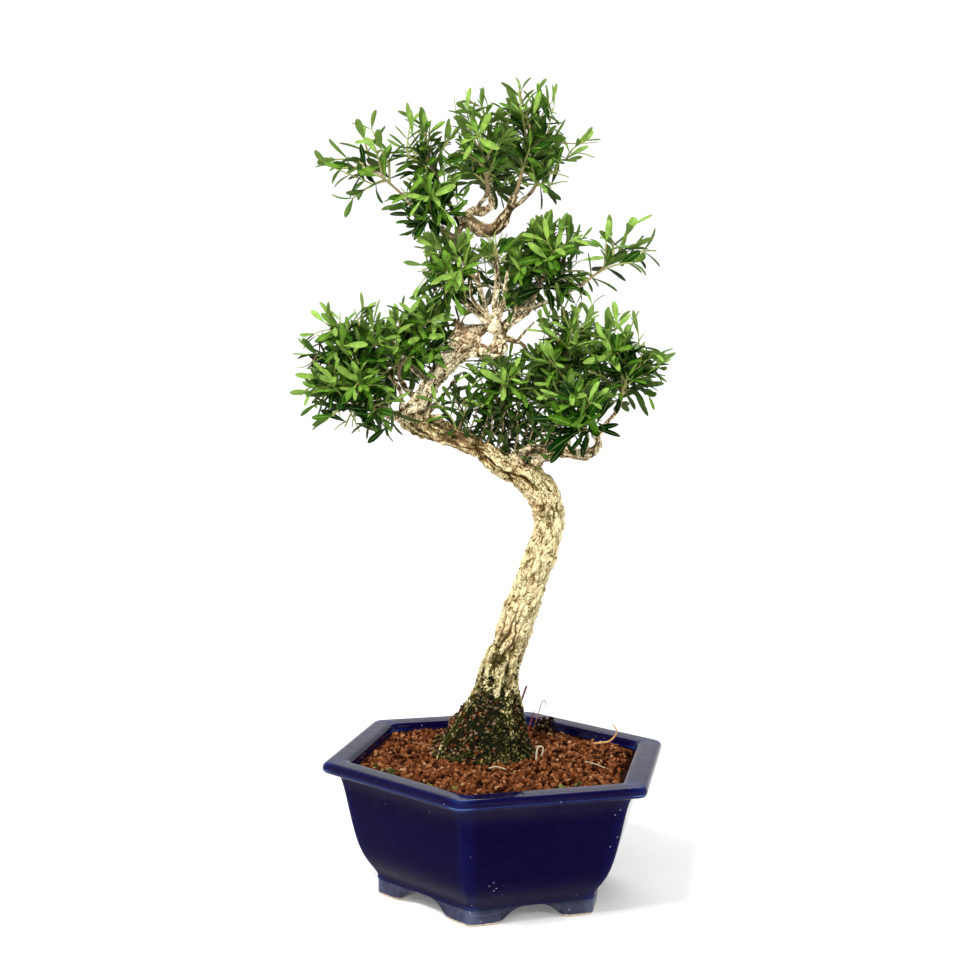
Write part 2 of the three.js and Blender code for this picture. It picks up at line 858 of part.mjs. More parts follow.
// The stem, twigs and leaves of one mass, as the seeded rule places them.
// Twigs leave the stem one above another, towards points spread round the space by the golden
// angle, and then carry crossed pairs of leaves and one leaf at the tip. What would leave the
// space, touch a limb or a stem or cross another twig or leaf is skipped.
function growMass(mass, limbsAndStems) {
  const stem = stemCurve(mass);
  const span = SPACE_LIMIT * Math.max(...mass.reach);
  const placed = limbsAndStems.filter((solid) => isNear(solid, stem.getPoint(1), span));

  const fits = (solid, points) => {
    const isFree = placed.every((other) => isApart(other, solid));
    if (!isFree || !points.every((p) => inOwnSpace(mass, p))) {
      return false;
    }
    placed.push(solid);
    return true;
  };

  const leafAt = (foot, direction, facing) => {
    const leaf = leafCorners(foot, direction, facing);
    return fits(leafSolid(leaf), [leaf.tip, ...leaf.around]) ? [leaf] : [];
  };

  const leafPairs = ({ curve, turn, random }) => {
    const length = curve.getLength();
    const last = 1 - PAIR_SPAN / length;
    const count = Math.max(1, Math.round((length * last - FIRST_PAIR) / PAIR_SPACING) + 1);
    return Array.from({ length: count }, (_, pair) => {
      const share = last - (count - 1 - pair) * (PAIR_SPACING / length);
      const ahead = curve.getTangent(share);
      const opening = lerp(LEAF_OPENING.foot, LEAF_OPENING.tip, (pair + 1) / count);
      const side = new THREE.Vector3().crossVectors(ahead, new THREE.Vector3(0, 0, 1)).normalize();
      side.applyAxisAngle(ahead, turn + (pair * Math.PI) / 2);
      const leaves = [1, -1].flatMap((sign) => {
        const spread = opening * lerp(1 - LEAF_JITTER, 1 + LEAF_JITTER, random());
        for (const tried of LEAF_TRIES) {
          const swing = spread * tried * sign;
          const out = ahead.clone().multiplyScalar(Math.cos(swing)).addScaledVector(side, Math.sin(swing));
          const leaf = leafAt(curve.getPoint(share), out, ahead);
          if (leaf.length) {
            return leaf;
          }
        }
        return [];
      });
      return { share, leaves };
    }).filter(({ leaves }) => leaves.length > 0);
  };

  const spin = 2 * Math.PI * seededRandom(mass.seed)();
  const upright = new THREE.Quaternion().setFromUnitVectors(new THREE.Vector3(0, 0, 1), stem.getTangent(1));
  const twigs = Array.from({ length: mass.twigs }, (_, i) => {
    const rank = (i + 0.5) / mass.twigs;
    const height = lerp(LOWEST_TWIG, 1, rank);
    const around = spin + i * GOLDEN_ANGLE;
    const flat = Math.sqrt(1 - height * height);
    const direction = new THREE.Vector3(flat * Math.cos(around), flat * Math.sin(around), height);
    direction.applyQuaternion(upright);
    const share = lerp(FIRST_TWIG, 1, rank);
    const foot = stem.getPoint(share);
    const target = spacePoint(mass, direction, TIP_ROOM);
    const random = seededRandom(mass.seed + SEED_STEP * (i + 1));
    const turn = 2 * Math.PI * random();
    const curves = REACH_TRIES.map((reach) => bow(foot, foot.clone().lerp(target, reach)));
    const curve = curves.find((tried) => {
      const stations = shootStations(tried, TWIG_RADII, [TWIG_CLEAR / tried.getLength(), 0.5, 1]);
      return fits(loft(ringsAlong(stations, TWIG_SIDES)), stations.map((station) => station.centre));
    });
    return { share, curve, turn, random };
  }).filter(({ curve }) => curve);

  return {
    curve: stem,
    buds: twigs.map((twig) => {
      const tip = leafAt(twig.curve.getPoint(1), twig.curve.getTangent(1), new THREE.Vector3(0, 0, 1));
      return { share: twig.share, twig: { curve: twig.curve, tip, buds: leafPairs(twig) } };
    }),
  };
}

// A skin of triangles round three-sided shoots. A leaf or a twig grows out of one triangle of
// the shoot that carries it, so that a whole mass is one closed skin.
class Skin {
  vertices = [];

  faces = [];

  add(point) {
    this.vertices.push(point.x, point.y, point.z);
    return this.vertices.length / 3 - 1;
  }

  at(index) {
    return new THREE.Vector3().fromArray(this.vertices, 3 * index);
  }

  // Turns a ring so that its corners lie nearest to those of the ring before it.
  matched(base, ring) {
    const turned = [0, 1, 2].map((turn) => ring.map((_, j) => ring[(j + turn) % 3]));
    const stretch = (order) => order.reduce((sum, p, j) => sum + p.distanceTo(this.at(base[j])), 0);
    return turned.reduce((best, order) => (stretch(order) < stretch(best) ? order : best));
  }

  // Joins a ring to the next, and gives back the triangle on each of the span's three faces
  // that a shoot may grow from; those that no shoot takes are closed.
  join(low, points, shoots = []) {
    const high = this.matched(low, points).map((p) => this.add(p));
    const open = [0, 1, 2].map((j) => [low[j], low[(j + 1) % 3], high[(j + 1) % 3]]);
    [0, 1, 2].forEach((j) => this.faces.push(low[j], high[(j + 1) % 3], high[j]));
    for (const { direction, grow } of shoots) {
      const normals = open.map((triangle) => this.normal(triangle).dot(direction));
      const best = normals.indexOf(Math.max(...normals));
      grow(open.splice(best, 1)[0]);
    }
    open.forEach((triangle) => this.faces.push(...triangle));
    return high;
  }

  normal([a, b, c]) {
    const corner = this.at(a);
    return new THREE.Vector3().crossVectors(this.at(b).sub(corner), this.at(c).sub(corner)).normalize();
  }

  leaf(base, { around, tip }) {
    const ring = this.join(base, around);
    const end = this.add(tip);
    [0, 1, 2].forEach((j) => this.faces.push(ring[j], ring[(j + 1) % 3], end));
  }

  // Carries a twig from its base triangle past its leaf pairs to its tip.
  twig(base, { curve, buds, tip }) {
    const half = PAIR_SPAN / 2 / curve.getLength();
    const shares = buds.flatMap(({ share }) => [share - half, share + half]);
    const rings = ringsAlong(shootStations(curve, TWIG_RADII, shares.length ? shares : [1]), TWIG_SIDES);
    const end = rings.reduce((ring, points, i) => {
      const leaves = i % 2 ? buds[(i - 1) / 2].leaves : [];
      const shoots = leaves.map((leaf) => {
        const grow = (open) => this.leaf(open, leaf);
        return { direction: leaf.direction, grow };
      });
      return this.join(ring, points, shoots);
    }, base);
    if (tip.length) {
      this.leaf(end, tip[0]);
    } else {
      this.faces.push(...end);
    }
  }
}

// The mass as one solid, its stem capped flat at its foot.
function makeMass({ curve, buds }) {
  const skin = new Skin();
  const half = TWIG_SPAN / 2 / curve.getLength();
  const last = buds.at(-1);
  const spans = buds.slice(0, -1).map(({ share }) => [share - half, share + half]);
  const shares = [0, ...spans.flat(), last.share];
  const rings = ringsAlong(shootStations(curve, STEM_RADII, shares), TWIG_SIDES);
  const foot = rings[0].map((p) => skin.add(p));
  skin.faces.push(foot[0], foot[2], foot[1]);
  const end = rings.slice(1).reduce((ring, points, i) => {
    const bud = i % 2 ? buds[(i - 1) / 2] : null;
    const shoots = bud
      ? [{ direction: bud.twig.curve.getTangent(0), grow: (open) => skin.twig(open, bud.twig) }]
      : [];
    return skin.join(ring, points, shoots);
  }, foot);
  skin.twig(end, last.twig);
  return solidOf(skin.vertices, skin.faces);
}

// Assembly

const group = new THREE.Group();

function addPiece(name, solid, finish, turn = 0) {
  const mesh = solid.getMesh();
  const geometry = new THREE.BufferGeometry();
  geometry.setAttribute('position', new THREE.BufferAttribute(Float32Array.from(mesh.vertProperties), 3));
  geometry.setIndex(new THREE.BufferAttribute(Uint32Array.from(mesh.triVerts), 1));
  geometry.computeVertexNormals();
  const piece = new THREE.Mesh(geometry, new THREE.MeshStandardMaterial({ ...finish, metalness: 0 }));
  piece.name = name;
  piece.rotation.z = turn;
  group.add(piece);
}

addPiece('pot', makePot(), FINISH.glaze);
const foot = makeFoot();
for (let corner = 0; corner < POT_SIDES; corner += 1) {
  addPiece(`foot_${corner + 1}`, foot, FINISH.glaze, POT_TURN + corner * CORNER_STEP);
}
addPiece('soil', makeSoil(), FINISH.soil);
addPiece('moss_mound', makeMoss(), FINISH.moss);

const enlarged = (name) =>
  name === 'trunk' ? makeTrunk(CUT_GAP) : makeLimb(limbByName.get(name), CUT_GAP);
addPiece('trunk', makeTrunk(), FINISH.bark);
for (const limb of LIMBS) {
  const cut = limb.cutBy.reduce((solid, name) => solid.subtract(enlarged(name)), makeLimb(limb));
  const body = cut.decompose().reduce((best, part) => (part.volume() > best.volume() ? part : best));
  addPiece(limb.name, body, FINISH.bark);
}

const roundLimbs = [makeTrunk(LIMB_MARGIN), ...LIMBS.map((limb) => makeLimb(limb, LIMB_MARGIN))];
const kept = [...roundLimbs, ...MASSES.map(roundStem)];
for (const mass of MASSES) {
  addPiece(`foliage_${mass.name}`, makeMass(growMass(mass, kept)), FINISH.leaf);
}

const box = new THREE.Box3().setFromObject(group);
group.position.set(-(box.min.x + box.max.x) / 2, -(box.min.y + box.max.y) / 2, -box.min.z);

export default group;
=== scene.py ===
"""Boxwood bonsai in its hexagonal glazed pot, dressed for rendering.

Lengths are in millimetres about the pot's upright axis, and become metres of the shared frame
only where a mesh is made. +Z is up, and the front of the tree faces -Y.
"""

import itertools
import logging
from collections.abc import Iterator
from dataclasses import dataclass
from enum import Enum

import bpy
import numpy as np
from mathutils import Matrix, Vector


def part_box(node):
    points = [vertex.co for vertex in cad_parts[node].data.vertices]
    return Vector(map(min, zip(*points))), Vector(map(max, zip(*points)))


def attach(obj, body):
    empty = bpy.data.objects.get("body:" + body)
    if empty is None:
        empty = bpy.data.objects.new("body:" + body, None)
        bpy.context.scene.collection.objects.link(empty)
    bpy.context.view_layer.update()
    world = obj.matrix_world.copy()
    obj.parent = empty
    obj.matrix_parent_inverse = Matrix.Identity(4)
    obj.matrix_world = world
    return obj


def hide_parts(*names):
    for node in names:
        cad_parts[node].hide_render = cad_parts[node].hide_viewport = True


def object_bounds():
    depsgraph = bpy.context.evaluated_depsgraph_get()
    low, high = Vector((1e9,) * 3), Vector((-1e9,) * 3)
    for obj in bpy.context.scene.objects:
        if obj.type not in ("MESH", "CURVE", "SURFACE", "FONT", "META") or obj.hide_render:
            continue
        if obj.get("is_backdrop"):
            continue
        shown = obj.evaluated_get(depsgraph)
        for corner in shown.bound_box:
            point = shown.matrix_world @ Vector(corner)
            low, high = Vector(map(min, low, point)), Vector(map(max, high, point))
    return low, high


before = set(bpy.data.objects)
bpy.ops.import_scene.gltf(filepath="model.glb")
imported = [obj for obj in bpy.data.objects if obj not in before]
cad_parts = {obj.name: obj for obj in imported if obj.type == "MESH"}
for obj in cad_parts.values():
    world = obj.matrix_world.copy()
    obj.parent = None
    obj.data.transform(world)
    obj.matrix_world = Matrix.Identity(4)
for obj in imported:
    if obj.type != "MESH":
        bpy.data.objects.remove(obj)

Array = np.ndarray
Number = float | Array
Socket = bpy.types.NodeSocket
Material = bpy.types.Material
Random = np.random.Generator
LOG = logging.getLogger("bonsai")

MM = 0.001
CAD_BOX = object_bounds()
POT_BOX = np.array(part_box("pot"))
POT_AXIS = POT_BOX.mean(axis=0) * (1, 1, 0)  # foot of the pot's upright axis, in metres

GOLDEN_ANGLE = np.pi * (3 - np.sqrt(5))
UP = np.array([0.0, 0.0, 1.0])
BLACK, WHITE = (0, 0, 0), (1, 1, 1)


# Numbers and noise


def lerp(low: Number, high: Number, share: Number) -> Number:
    """Value a share of the way from low to high."""
    return low + (high - low) * share


def bell(values: Number, width: Number) -> Number:
    """Bell curve: 1 at zero, and e^-1 at the width on either side."""
    return np.exp(-((values / width) ** 2))


def bands(values: Array, curves: tuple) -> Array:
    """Sum of bell curves, each given by its middle, its width and its height."""
    return sum(height * bell(values - middle, width) for middle, width, height in curves)


def unit(vectors: Array) -> Array:
    """Vectors scaled to length 1."""
    return vectors / np.maximum(np.linalg.norm(vectors, axis=-1, keepdims=True), 1e-9)


def eased(low: float, high: float, values: Number) -> Number:
    """Smooth step: 0 below low, 1 above high, and 3t² - 2t³ between."""
    share = np.clip((values - low) / (high - low), 0, 1)
    return share * share * (3 - 2 * share)


def seeded_random(seed: int) -> Iterator[float]:
    """Even random numbers from 0 to 1 by 32-bit mixing, as the solids are grown with.

    Args:
        seed: whole number that the run of numbers depends on.

    Returns:
        An endless run of numbers.
    """
    mask = 0xFFFFFFFF
    state = seed & mask
    while True:
        state = (state + 0x6D2B79F5) & mask
        mixed = ((state ^ (state >> 15)) * (state | 1)) & mask
        mixed ^= (mixed + (mixed ^ (mixed >> 7)) * (mixed | 61)) & mask
        yield ((mixed ^ (mixed >> 14)) & mask) / 4294967296


def hashed(cells: Array, seed: int) -> Array:
    """Even values from 0 to 1, one for each whole-number cell.

    Args:
        cells: cell corners, with the three coordinates last.
        seed: whole number that the values depend on.

    Returns:
        One value for each cell.
    """
    i, j, k = np.moveaxis(cells.astype(np.int64), -1, 0)
    mixed = (i * 73856093 ^ j * 19349663 ^ k * 83492791 ^ seed * 97531) & 0xFFFFFFFF
    mixed = ((mixed ^ (mixed >> 15)) * 739981181) & 0xFFFFFFFF
    mixed = ((mixed ^ (mixed >> 13)) * 1274126177) & 0xFFFFFFFF
    return (mixed ^ (mixed >> 16)) / 0xFFFFFFFF


def noise(points: Array, seed: int) -> Array:
    """Smooth noise from -1 to 1: hashed values at the corners of unit cells, eased between.

    Args:
        points: places, with the three coordinates last.
        seed: whole number that the noise depends on.

    Returns:
        One value for each place.
    """
    cell = np.floor(points)
    share = points - cell
    share = share * share * (3 - 2 * share)
    total = np.zeros(points.shape[:-1])
    for corner in np.ndindex(2, 2, 2):
        weight = np.prod(np.where(corner, share, 1 - share), axis=-1)
        total += weight * hashed(cell + corner, seed)
    return 2 * total - 1


def layered(points: Array, seed: int, layers: int = 3) -> Array:
    """Noise in layers, each half as high and twice as fine as the one before."""
    total = sum(noise(points * 2**n, seed + n) / 2**n for n in range(layers))
    return total / (2 - 2.0 ** (1 - layers))


# Curves and surfaces


def smooth_route(points: Array, shares: Array) -> Array:
    """Even Catmull-Rom curve through the points.

    Each span is the cubic through its two ends whose slopes there are half the step between
    the neighbours, and a point is added past each end in line with the last two.

    Args:
        points: places that the curve goes through, one in each row.
        shares: shares of the way along.

    Returns:
        One place for each share.
    """
    ends = np.vstack([2 * points[0] - points[1], points, 2 * points[-1] - points[-2]])
    along = np.asarray(shares) * (len(points) - 1)
    span = np.minimum(along.astype(int), len(points) - 2)
    t = (along - span)[:, None]
    before, start, end, after = (ends[span + n] for n in range(4))
    leaving, arriving = (end - before) / 2, (after - start) / 2
    cubic = 2 * start - 2 * end + leaving + arriving
    square = -3 * start + 3 * end - 2 * leaving - arriving
    return start + leaving * t + square * t**2 + cubic * t**3


def bowed(curve: Array, shares: Array) -> Array:
    """Quadratic curve from a foot to a tip, drawn towards the control between them.

    Args:
        curve: foot, control and tip, one in each row.
        shares: shares of the way along.

    Returns:
        One place for each share.
    """
    t = np.atleast_1d(shares)[:, None]
    foot, control, tip = curve
    return (1 - t) ** 2 * foot + 2 * t * (1 - t) * control + t**2 * tip


def bow_heading(curve: Array, shares: Array) -> Array:
    """Unit directions of a bowed curve at the shares."""
    t = np.atleast_1d(shares)[:, None]
    return unit((1 - t) * (curve[1] - curve[0]) + t * (curve[2] - curve[1]))


def bow_length(curve: Array) -> float:
    """Length of a bowed curve."""
    return float(np.linalg.norm(np.diff(bowed(curve, np.linspace(0, 1, 17)), axis=0), axis=1).sum())


def arc_lengths(path: Array) -> Array:
    """Length along a path of points up to each of them."""
    steps = np.linalg.norm(np.diff(path, axis=0), axis=1)
    return np.concatenate([[0.0], np.cumsum(steps)])


def cross_frames(path: Array) -> tuple[Array, Array]:
    """Two directions across a path at each of its points, turned as little as possible.

    Args:
        path: points along the path, one in each row.

    Returns:
        The side and the up directions, which with the path's heading make right angles.
    """
    heading = unit(np.gradient(path, axis=0))
    side = np.empty_like(path)
    last = np.array([0.0, 1.0, 0.0]) if abs(heading[0, 0]) > 0.9 else np.array([1.0, 0.0, 0.0])
    for i, ahead in enumerate(heading):
        last = unit(last - ahead * (last @ ahead))
        side[i] = last
    return side, np.cross(heading, side)


def turned_to(direction: Array) -> Array:
    """Rotation matrix that turns +Z to a unit direction by the shortest way.

    Args:
        direction: unit direction that +Z turns to.

    Returns:
        A 3 by 3 matrix.
    """
    x, y, z = np.cross(UP, direction)
    twist = np.array([[0, -z, y], [z, 0, -x], [-y, x, 0]])
    return np.eye(3) + twist + twist @ twist / (1 + direction[2])


def on_circle(angle: Number) -> Array:
    """Points of the unit circle at angles, with the two coordinates last."""
    return np.stack([np.cos(angle), np.sin(angle)], axis=-1)


def round_axis(turn: Array, radius: Number, height: Number, middle: tuple = (0, 0)) -> Array:
    """Points at angles round an upright axis, with the three coordinates last."""
    across, deep = middle[0] + radius * np.cos(turn), middle[1] + radius * np.sin(turn)
    return np.stack(np.broadcast_arrays(across, deep, height), axis=-1)


def full_turn(count: int) -> Array:
    """Angles of so many even steps round a circle."""
    return np.arange(count) * 2 * np.pi / count


def raised(plan: Array, heights: Array) -> Array:
    """Rings in plan, each lifted to its height."""
    return np.concatenate([plan, np.broadcast_to(heights[:, None, None], (*plan.shape[:2], 1))], axis=-1)


def outward(path: Array, angle: Array) -> Array:
    """Unit directions away from a path, at each of its points and each angle round it."""
    side, up = cross_frames(path)
    return side[:, None] * np.cos(angle)[:, None] + up[:, None] * np.sin(angle)[:, None]


def across_heading(ahead: Array, angle: float) -> Array:
    """Unit direction across a heading, turned round it by an angle."""
    side = unit(np.cross(ahead, UP + (0.01, 0, 0)))
    return side * np.cos(angle) + np.cross(ahead, side) * np.sin(angle)


def band_faces(rings: int, around: int) -> Array:
    """Four-cornered faces between closed rings of equal counts, facing out of the path.

    Args:
        rings: number of rings.
        around: number of points round each.

    Returns:
        Corner numbers, with one face in each row.
    """
    i, j = np.meshgrid(np.arange(rings - 1), np.arange(around), indexing="ij")
    k = (j + 1) % around
    corners = [i * around + j, i * around + k, (i + 1) * around + k, (i + 1) * around + j]
    return np.stack(corners, axis=-1).reshape(-1, 4)


def closed_faces(rings: int, around: int) -> list[Array]:
    """Faces between closed rings, one face over the first ring and one over the last."""
    ring = np.arange(around)
    return [band_faces(rings, around), ring[::-1][None], (ring + (rings - 1) * around)[None]]


def placed(name: str, data: bpy.types.ID) -> bpy.types.Object:
    """New object of the scene that shows the data.

    Args:
        name: name of the object.
        data: mesh, lamp or camera.

    Returns:
        The object.
    """
    thing = bpy.data.objects.new(name, data)
    bpy.context.scene.collection.objects.link(thing)
    return thing


class Piece:
    """Points and faces gathered from several surfaces, to be made into one mesh."""

    def __init__(self, name: str) -> None:
        """Starts an empty piece with its object's name.

        Args:
            name: name of its object.
        """
        self.name = name
        self.points: list[Array] = []
        self.faces: list[Array] = []
        self.slots: list[Array] = []
        self.marks: dict[str, list[Array]] = {}
        self.count = 0

    def add(self, points: Array, faces: list[Array], slots: object = 0, **marks: Array) -> None:
        """Adds a surface.

        Args:
            points: places in millimetres, with the three coordinates last.
            faces: arrays of corner numbers, each with one face in each row.
            slots: material number of all faces, or a list with one entry for each array.
            marks: values that each point carries for the materials.
        """
        flat = points.reshape(-1, 3)
        for n, part in enumerate(faces):
            slot = slots[n] if isinstance(slots, list) else slots
            self.faces.append(part + self.count)
            self.slots.append(np.broadcast_to(slot, len(part)))
        self.points.append(flat)
        for key, values in marks.items():
            self.marks.setdefault(key, []).append(np.broadcast_to(values, points.shape[:-1]).ravel())
        self.count += len(flat)

    def add_tube(self, path: Array, radii: Array, around: int, slots: object = 0, **marks: Array) -> None:
        """Adds a round limb: circles of the given radii about the points of a path.

        Args:
            path: points along the middle.
            radii: radius at each of them.
            around: points round the limb.
            slots: material number.
            marks: values at each point of the path.
        """
        points = path[:, None] + outward(path, full_turn(around)) * np.reshape(radii, (-1, 1, 1))
        marks = {key: np.reshape(values, (-1, 1)) for key, values in marks.items()}
        self.add(points, closed_faces(len(path), around), slots, **marks)

    def build(self, finishes: list[Material], replaces: list[str], slot: str, crease: float = 0) -> None:
        """Makes the mesh and its object under the root body, and hides the solids that it stands for.

        Args:
            finishes: materials, in the order of the faces' numbers.
            replaces: solids that the piece stands for.
            slot: not used.
            crease: angle in degrees past which an edge is shaded as sharp, or 0 for none.
        """
        corners = np.concatenate([part.ravel() for part in self.faces])
        counts = np.concatenate([np.full(len(part), part.shape[1]) for part in self.faces])
        mesh = bpy.data.meshes.new(self.name)
        mesh.vertices.add(self.count)
        mesh.vertices.foreach_set("co", (np.concatenate(self.points) * MM + POT_AXIS).ravel())
        mesh.loops.add(len(corners))
        mesh.loops.foreach_set("vertex_index", corners)
        mesh.polygons.add(len(counts))
        mesh.polygons.foreach_set("loop_start", np.concatenate([[0], np.cumsum(counts)[:-1]]))
        mesh.polygons.foreach_set("material_index", np.concatenate(self.slots))
        mesh.polygons.foreach_set("use_smooth", np.full(len(counts), True))
        for key, values in self.marks.items():
            mesh.attributes.new(key, "FLOAT", "POINT").data.foreach_set("value", np.concatenate(values))
        mesh.update(calc_edges=True)
        mesh.validate()
        if crease:
            mesh.set_sharp_from_angle(angle=np.radians(crease))
        for finish in finishes:
            mesh.materials.append(finish)
        piece = placed(self.name, mesh)
        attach(piece, "root")
        if replaces:
            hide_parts(*replaces)
        LOG.info("%s: %d points, %d triangles", self.name, self.count, int((counts - 2).sum()))


# Finishes


class Wiring:
    """A material's nodes, with short ways to add to them."""

    def __init__(self, name: str, roughness: float, **shader: float) -> None:
        """Starts a material with its shader's plain settings.

        Args:
            name: name of the material.
            roughness: the shader's roughness.
            shader: further settings of the shader, with spaces in their names as underscores.
        """
        self.material = bpy.data.materials.new(name)
        self.material.use_nodes = True
        self.tree = self.material.node_tree
        self.shader = self.tree.nodes["Principled BSDF"]
        for key, value in {"Roughness": roughness, **shader}.items():
            self.feed(self.shader, key.replace("_", " "), value)

    def node(self, kind: str, **inputs: object) -> bpy.types.Node:
        """Adds a node and sets or links its inputs by name.

        Args:
            kind: type of the node.
            inputs: sockets or plain values, with spaces in their names as underscores.

        Returns:
            The node.
        """
        node = self.tree.nodes.new(kind)
        for key, value in inputs.items():
            self.feed(node, key.replace("_", " "), value)
        return node

    def feed(self, node: bpy.types.Node, key: str | int, value: object) -> None:
        """Links a socket to an input, or sets the input to a plain value.

        Args:
            node: node with the input.
            key: name or number of the input.
            value: socket or plain value.
        """
        target = node.inputs[key]
        if isinstance(value, Socket):
            self.tree.links.new(value, target)
        else:
            target.default_value = value

    def place(self, stretch: tuple = (1, 1, 1)) -> Socket:
        """Object coordinates, stretched along each axis."""
        source = self.node("ShaderNodeTexCoord").outputs["Object"]
        return self.node("ShaderNodeMapping", Vector=source, Scale=stretch).outputs[0]

    def grain(self, scale: float, detail: float = 3.0, stretch: tuple = (1, 1, 1)) -> Socket:
        """Noise on Object coordinates, with so many lumps to the metre."""
        node = self.node("ShaderNodeTexNoise", Vector=self.place(stretch), Scale=scale, Detail=detail)
        return node.outputs["Fac"]

    def specks(self, scale: float) -> Socket:
        """Distance to the nearest of scattered points, with so many to the metre."""
        return self.node("ShaderNodeTexVoronoi", Vector=self.place(), Scale=scale).outputs["Distance"]

    def mark(self, name: str) -> Socket:
        """A value that the piece's points carry.

        Args:
            name: the attribute's name.

        Returns:
            The value.
        """
        node = self.node("ShaderNodeAttribute")
        node.attribute_name = name
        return node.outputs["Fac"]

    def ramp(self, source: Socket, *stops: tuple[float, tuple]) -> Socket:
        """Colours laid along a value, as pairs of a place and a colour.

        Args:
            source: value that is read.
            stops: pairs of a place from 0 to 1 and a colour.

        Returns:
            The colour.
        """
        node = self.node("ShaderNodeValToRGB", Fac=source)
        elements = node.color_ramp.elements
        while len(elements) < len(stops):
            elements.new(0.5)
        for element, (place, colour) in zip(elements, stops):
            element.position = place
            element.color = (*colour, 1)
        return node.outputs["Color"]

    def math(self, operation: str, *values: object) -> Socket:
        """Sum, product or the like of two values.

        Args:
            operation: name of the sum.
            values: sockets or numbers.

        Returns:
            The result.
        """
        node = self.node("ShaderNodeMath")
        node.operation = operation
        for place, value in enumerate(values):
            self.feed(node, place, value)
        return node.outputs[0]

    def plus(self, first: object, second: object) -> Socket:
        """Sum of two values."""
        return self.math("ADD", first, second)

    def minus(self, first: object, second: object) -> Socket:
        """First value less the second."""
        return self.math("SUBTRACT", first, second)

    def times(self, first: object, second: object) -> Socket:
        """Product of two values."""
        return self.math("MULTIPLY", first, second)

    def mix(self, share: object, first: object, second: object) -> Socket:
        """Blend of two colours.

        Args:
            share: share of the second colour.
            first: colour where the share is 0.
            second: colour where it is 1.

        Returns:
            The blend.
        """
        node = self.node("ShaderNodeMix")
        node.data_type = "RGBA"
        for place, value in ((0, share), (6, first), (7, second)):
            self.feed(node, place, (*value, 1) if isinstance(value, tuple) else value)
        return node.outputs[2]

    def finish(
        self, colour: Socket, height: Socket | None = None, depth: float = 0.0, strength: float = 1.0
    ) -> Material:
        """Feeds the shader its colour and bumps of a depth in metres.

        Args:
            colour: colour of the surface.
            height: value that the bumps follow, or none.
            depth: height of the bumps in metres.
            strength: share of the bumps that shows.

        Returns:
            The finished material.
        """
        self.feed(self.shader, "Base Color", colour)
        if height is not None:
            bump = self.node("ShaderNodeBump", Height=height, Distance=depth, Strength=strength)
            self.feed(self.shader, "Normal", bump.outputs[0])
        return self.material


@dataclass(frozen=True)
class Glaze:
    """Glossy cobalt glaze: nearly black where it lies thick, brighter where it thins at edges, with a painted
    highlight at its thinnest, and with dust and wear.
    """

    thick: tuple = (0.0024, 0.0004, 0.021)
    middle: tuple = (0.0026, 0.0026, 0.037)
    thin: tuple = (0.007, 0.018, 0.105)
    # painted highlight: the palest colour, at the top of the ramp where the mark thin is highest
    painted_highlight: tuple = (0.06, 0.1, 0.25)
    dust: tuple = (0.19, 0.175, 0.165)
    chip: tuple = (0.45, 0.45, 0.48)
    roughness: float = 0.06

    def material(self, name: str, dusty: float, gloss: float) -> Material:
        """Makes the glaze.

        Args:
            name: name of the material.
            dusty: how much of the dust shows, from 0 to 1.
            gloss: specular level of the glaze.

        Returns:
            The material, which reads the marks called thin and grime.
        """
        wiring = Wiring(name, self.roughness, Specular_IOR_Level=gloss)
        cloud = wiring.grain(45, 4)
        streak = wiring.grain(60, 3, (1, 1, 7))
        depth = wiring.plus(wiring.mark("thin"), wiring.times(cloud, 0.16))
        depth = wiring.plus(depth, wiring.times(streak, 0.16))
        # The last stop is a painted highlight, where the mark thin is highest.
        stops = (0.2, self.thick), (0.5, self.middle), (0.86, self.thin), (1, self.painted_highlight)
        colour = wiring.ramp(depth, *stops)
        dirt = wiring.ramp(wiring.grain(230, 6), (0.5, BLACK), (0.9, WHITE))
        film = wiring.plus(wiring.times(dirt, dusty), wiring.times(wiring.mark("grime"), cloud))
        chips = wiring.ramp(wiring.specks(330), (0.07, WHITE), (0.12, BLACK))
        sparse = wiring.ramp(wiring.grain(50, 3), (0.58, BLACK), (0.64, WHITE))
        colour = wiring.mix(film, colour, self.dust)
        colour = wiring.mix(wiring.times(chips, sparse), colour, self.chip)
        rough = wiring.plus(wiring.times(film, 0.5), self.roughness)
        wiring.feed(wiring.shader, "Roughness", rough)
        return wiring.finish(colour, wiring.grain(120, 3), 0.0006, 0.25)


@dataclass(frozen=True)
class Grit:
    """Matt mottled matter in one tone: a clay grain, a clod, a tuft of moss or bare stoneware."""

    colour: tuple
    shade: tuple
    roughness: float = 0.92
    specular: float = 0.04
    mottle: tuple = (700, 0.3, 0.66)  # lumps to the metre, and where the shade ends and the colour starts
    pits: tuple = (1500, 0.0004, 0.6)  # lumps to the metre, depth in metres and share that shows

    def material(self, name: str) -> Material:
        """Makes the grit.

        Args:
            name: name of the material.

        Returns:
            The finished material.
        """
        wiring = Wiring(name, self.roughness, Specular_IOR_Level=self.specular)
        scale, low, high = self.mottle
        colour = wiring.ramp(wiring.grain(scale, 5), (low, self.shade), (high, self.colour))
        scale, depth, strength = self.pits
        return wiring.finish(colour, wiring.grain(scale, 4), depth, strength)


